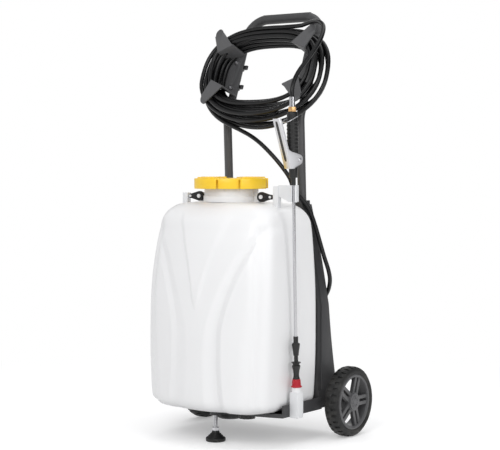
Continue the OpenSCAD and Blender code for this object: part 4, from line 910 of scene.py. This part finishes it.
def grip_rings(place):
    """Rings of the lance's grip: soft ends, a waist and shallow finger ribs."""
    rings = []
    for k in range(181):
        z = GRIP_LONG * k / 180
        end = min(z, GRIP_LONG - z)
        shrink = 2.6 * (1 - ease(end / 5)) ** 2
        rib = 0.0
        if 42 < z < 113:
            rib = 0.9 * ease((0.5 - abs(((z - 45) / 9) % 1 - 0.28) * 1.9) * 4)
        waist = 1.0 * math.exp(-((z - 22) / 10) ** 2)
        w, d = 28 - shrink + 2 * rib - waist, 23 - shrink + 2 * rib - waist
        rings.append(stadium_ring(w, d, GRIP_FROM + z, place))
    low, high = ([tuple(place @ Vector((0, 0, z)))] * len(rings[0])
                 for z in (GRIP_FROM, GRIP_FROM + GRIP_LONG))
    return [low] + rings + [high]


# The lever: its tip and foot along the lance, its back at the tip and how fast it nears the grip,
# half its width, its sheet and the rounding of its back. Then the pins of lever and wire loop.
LEVER_TIP, LEVER_FOOT, TIP_BACK, BACK_SLOPE = GRIP_FROM + 119, GRIP_FROM - 2, -49.5, 0.2748
LEVER_HALF, LEVER_SHEET, LEVER_ROUND = 14.4, 1.3, 2.2
LEVER_PIN, BAIL_PIN = (10, GRIP_FROM + 19), (6, GRIP_FROM + 124)


def lever_back(z):
    """Where the lever's back lies at a height along the lance."""
    return TIP_BACK + (LEVER_TIP - z) * BACK_SLOPE


def lever_rings(place):
    """Cross-sections of the pressed lever, from its tip down to the pivot plates."""
    rings = []
    for k in range(41):
        z = LEVER_TIP + (LEVER_FOOT - LEVER_TIP) * k / 40
        outer = lever_back(z)
        plate = math.exp(-(abs(z - (GRIP_FROM + 20)) / 17) ** 4)
        reach = max(outer + 7.5, outer + 7.5 + (18.5 - outer - 7.5) * plate)
        half, wall, corner = LEVER_HALF, LEVER_SHEET, LEVER_ROUND
        if k < 4:
            half -= 1.6 * (1 - k / 4) ** 2
        pts = [(reach, -half), (outer + corner, -half), (outer + 0.5, -half + 0.5),
               (outer, -half + corner), (outer, half - corner), (outer + 0.5, half - 0.5),
               (outer + corner, half), (reach, half), (reach, half - wall),
               (outer + wall + 1, half - wall), (outer + wall, half - wall - 1),
               (outer + wall, -half + wall + 1), (outer + wall + 1, -half + wall), (reach, -half + wall)]
        rings.append([tuple(place @ Vector((x, y, z))) for x, y in pts])
    return rings


class CART_OT_lance(bpy.types.Operator):
    """Lance: grip, pressed lever, wire bail, nuts and the nozzle's parts"""

    bl_idname = "cart.lance"
    bl_label = "Lance"

    def execute(self, context):
        sizes = context.scene.cart_sizes
        edge = sizes.edge
        grip = wrap("lance_handgrip", grip_rings(LEVER))
        smooth(grip, 35)
        fit(grip, "black", "lance_grip")

        lever = wrap("pressed_lever", lever_rings(LEVER))
        select_only(lever)
        bpy.ops.object.mode_set(mode="EDIT")
        bpy.ops.mesh.select_all(action="DESELECT")
        bpy.ops.mesh.select_non_manifold(extend=False)
        bpy.ops.mesh.fill_holes(sides=0)
        bpy.ops.mesh.select_all(action="SELECT")
        bpy.ops.mesh.normals_make_consistent(inside=False)
        bpy.ops.object.mode_set(mode="OBJECT")
        smooth(lever, 40)
        fit(lever, "bright", "trigger_lever")
        lever["cart_finish"] = "pressed"
        # Dark band set into the lever's back: a painted reflection of the black grip in the polished channel.
        painted_reflection_band = []
        for k in range(25):
            z = GRIP_FROM + 112 - 96 * k / 24
            outer = lever_back(z)
            half = 4.6 - 1.4 * (1 - ease(min(k, 24 - k) / 2))
            painted_reflection_band.append([tuple(LEVER @ Vector(p)) for p in (
                (outer - 0.5, -half, z), (outer - 0.5, half, z), (outer + 0.9, half + 0.5, z),
                (outer + 0.9, -half - 0.5, z))])
        ends = [[tuple(np.mean(ring, axis=0))] * 4 for ring in (painted_reflection_band[0], painted_reflection_band[-1])]
        fit(wrap("lever_strip", [ends[0]] + painted_reflection_band + [ends[1]]), "black", body="trigger")
        head = [(0, -1.2), (3.4, -1.2), (4.2, -0.6), (4.2, 0.6), (3.4, 1.2), (0, 1.2)]
        pin = turned("lever_pin_head", head, 32,
                     LEVER @ Matrix.Translation((LEVER_PIN[0], -15.4, LEVER_PIN[1]))
                     @ Matrix.Rotation(math.pi / 2, 4, "X"))
        smooth(pin, 40)
        fit(pin, "steel", body="trigger")

        loop = []
        for y, z in ((-13.6, 0), (-13.9, 10), (-13.9, 22), (-12.6, 29), (-8, 32.4), (0, 33), (8, 32.4),
                     (12.6, 29), (13.9, 22), (13.9, 10), (13.6, 0)):
            loop.append(tuple(LEVER @ Vector((BAIL_PIN[0] - 0.906 * z, y, BAIL_PIN[1] - 0.423 * z))))
        bail = tube("wire_bail", through(loop, 4), sizes.wire / 2, 10)
        fit(bail, "bright", "lock_bail")
        pivot = turned("bail_pin", [(0, -15.6), (1.3, -15.6), (1.3, 15.6), (0, 15.6)], 20,
                       LEVER @ Matrix.Translation((BAIL_PIN[0], 0, BAIL_PIN[1]))
                       @ Matrix.Rotation(math.pi / 2, 4, "X"))
        smooth(pivot, 40)
        fit(pivot, "bright", body="lance")

        for node, width in (("tube_nut", edge * 0.6), ("nozzle_coupler", edge * 0.4),
                            ("nozzle_body", edge * 0.4), ("nozzle_cap", edge * 0.5),
                            ("nozzle_tip", edge * 0.4)):
            fit(copy_of(node, node + "_turned", width), SLOTS[node], node)
        return {"FINISHED"}


class CART_OT_foot(bpy.types.Operator):
    """Rubber foot with its ribbed skirt, and the stud's nut"""

    bl_idname = "cart.foot"
    bl_label = "Foot"

    def execute(self, context):
        edge = context.scene.cart_sizes.edge
        outline = [(0, 0.0), (22.5, 0.0), (24.2, 0.7), (25, 2.2), (25, 7.6), (24.4, 9.0), (23.0, 10.2),
                   (20.5, 11.2), (19.2, 12.6), (18.4, 14.6), (17.0, 15.6), (15.2, 16.4), (14.0, 18.4),
                   (13.0, 19.6), (11.4, 20.4), (10.0, 22.0), (9.4, 24.5), (8.8, 26.3), (7.8, 27.0), (0, 27.0)]
        place = Matrix.Translation((0, -0.128, 0)) @ Matrix.Scale(MM, 4)
        pad = turned("foot_rubber", outline, 64, place)
        smooth(pad, 50)
        fit(pad, "rubber", "foot_pad")
        fit(copy_of("foot_stud", "foot_stud_nut", edge * 0.5), "steel", "foot_stud")
        return {"FINISHED"}


# --- Panel and registration ----------------------------------------------------------------------

STEPS = (CART_OT_stage, CART_OT_hose, CART_OT_tank, CART_OT_chassis, CART_OT_fittings,
         CART_OT_wheels, CART_OT_handle, CART_OT_lance, CART_OT_foot, CART_OT_finishes)


class CART_PT_panel(bpy.types.Panel):
    """Lists the cart's sizes, colours and steps in the sidebar"""

    bl_idname = "CART_PT_panel"
    bl_label = "Spray Cart"
    bl_space_type = "VIEW_3D"
    bl_region_type = "UI"
    bl_category = "Spray Cart"

    def draw(self, context):
        for group in (context.scene.cart_sizes, context.scene.cart_colours):
            box = self.layout.box()
            for name in group.__annotations__:
                box.prop(group, name)
        for step in STEPS:
            self.layout.operator(step.bl_idname)


CLASSES = (CartSizes, CartColours, *STEPS, CART_PT_panel)


def register():
    """Registers the classes and the scene's settings."""
    for cls in CLASSES:
        bpy.utils.register_class(cls)
    bpy.types.Scene.cart_sizes = bpy.props.PointerProperty(type=CartSizes)
    bpy.types.Scene.cart_colours = bpy.props.PointerProperty(type=CartColours)


def unregister():
    """Takes the settings and the classes away."""
    del bpy.types.Scene.cart_colours
    del bpy.types.Scene.cart_sizes
    for cls in reversed(CLASSES):
        bpy.utils.unregister_class(cls)


def main():
    """Builds the cart piece by piece."""
    register()
    for step in STEPS:
        group, name = step.bl_idname.split(".")
        getattr(getattr(bpy.ops, group), name)()
    bpy.context.view_layer.update()


if __name__ == "__main__":
    main()
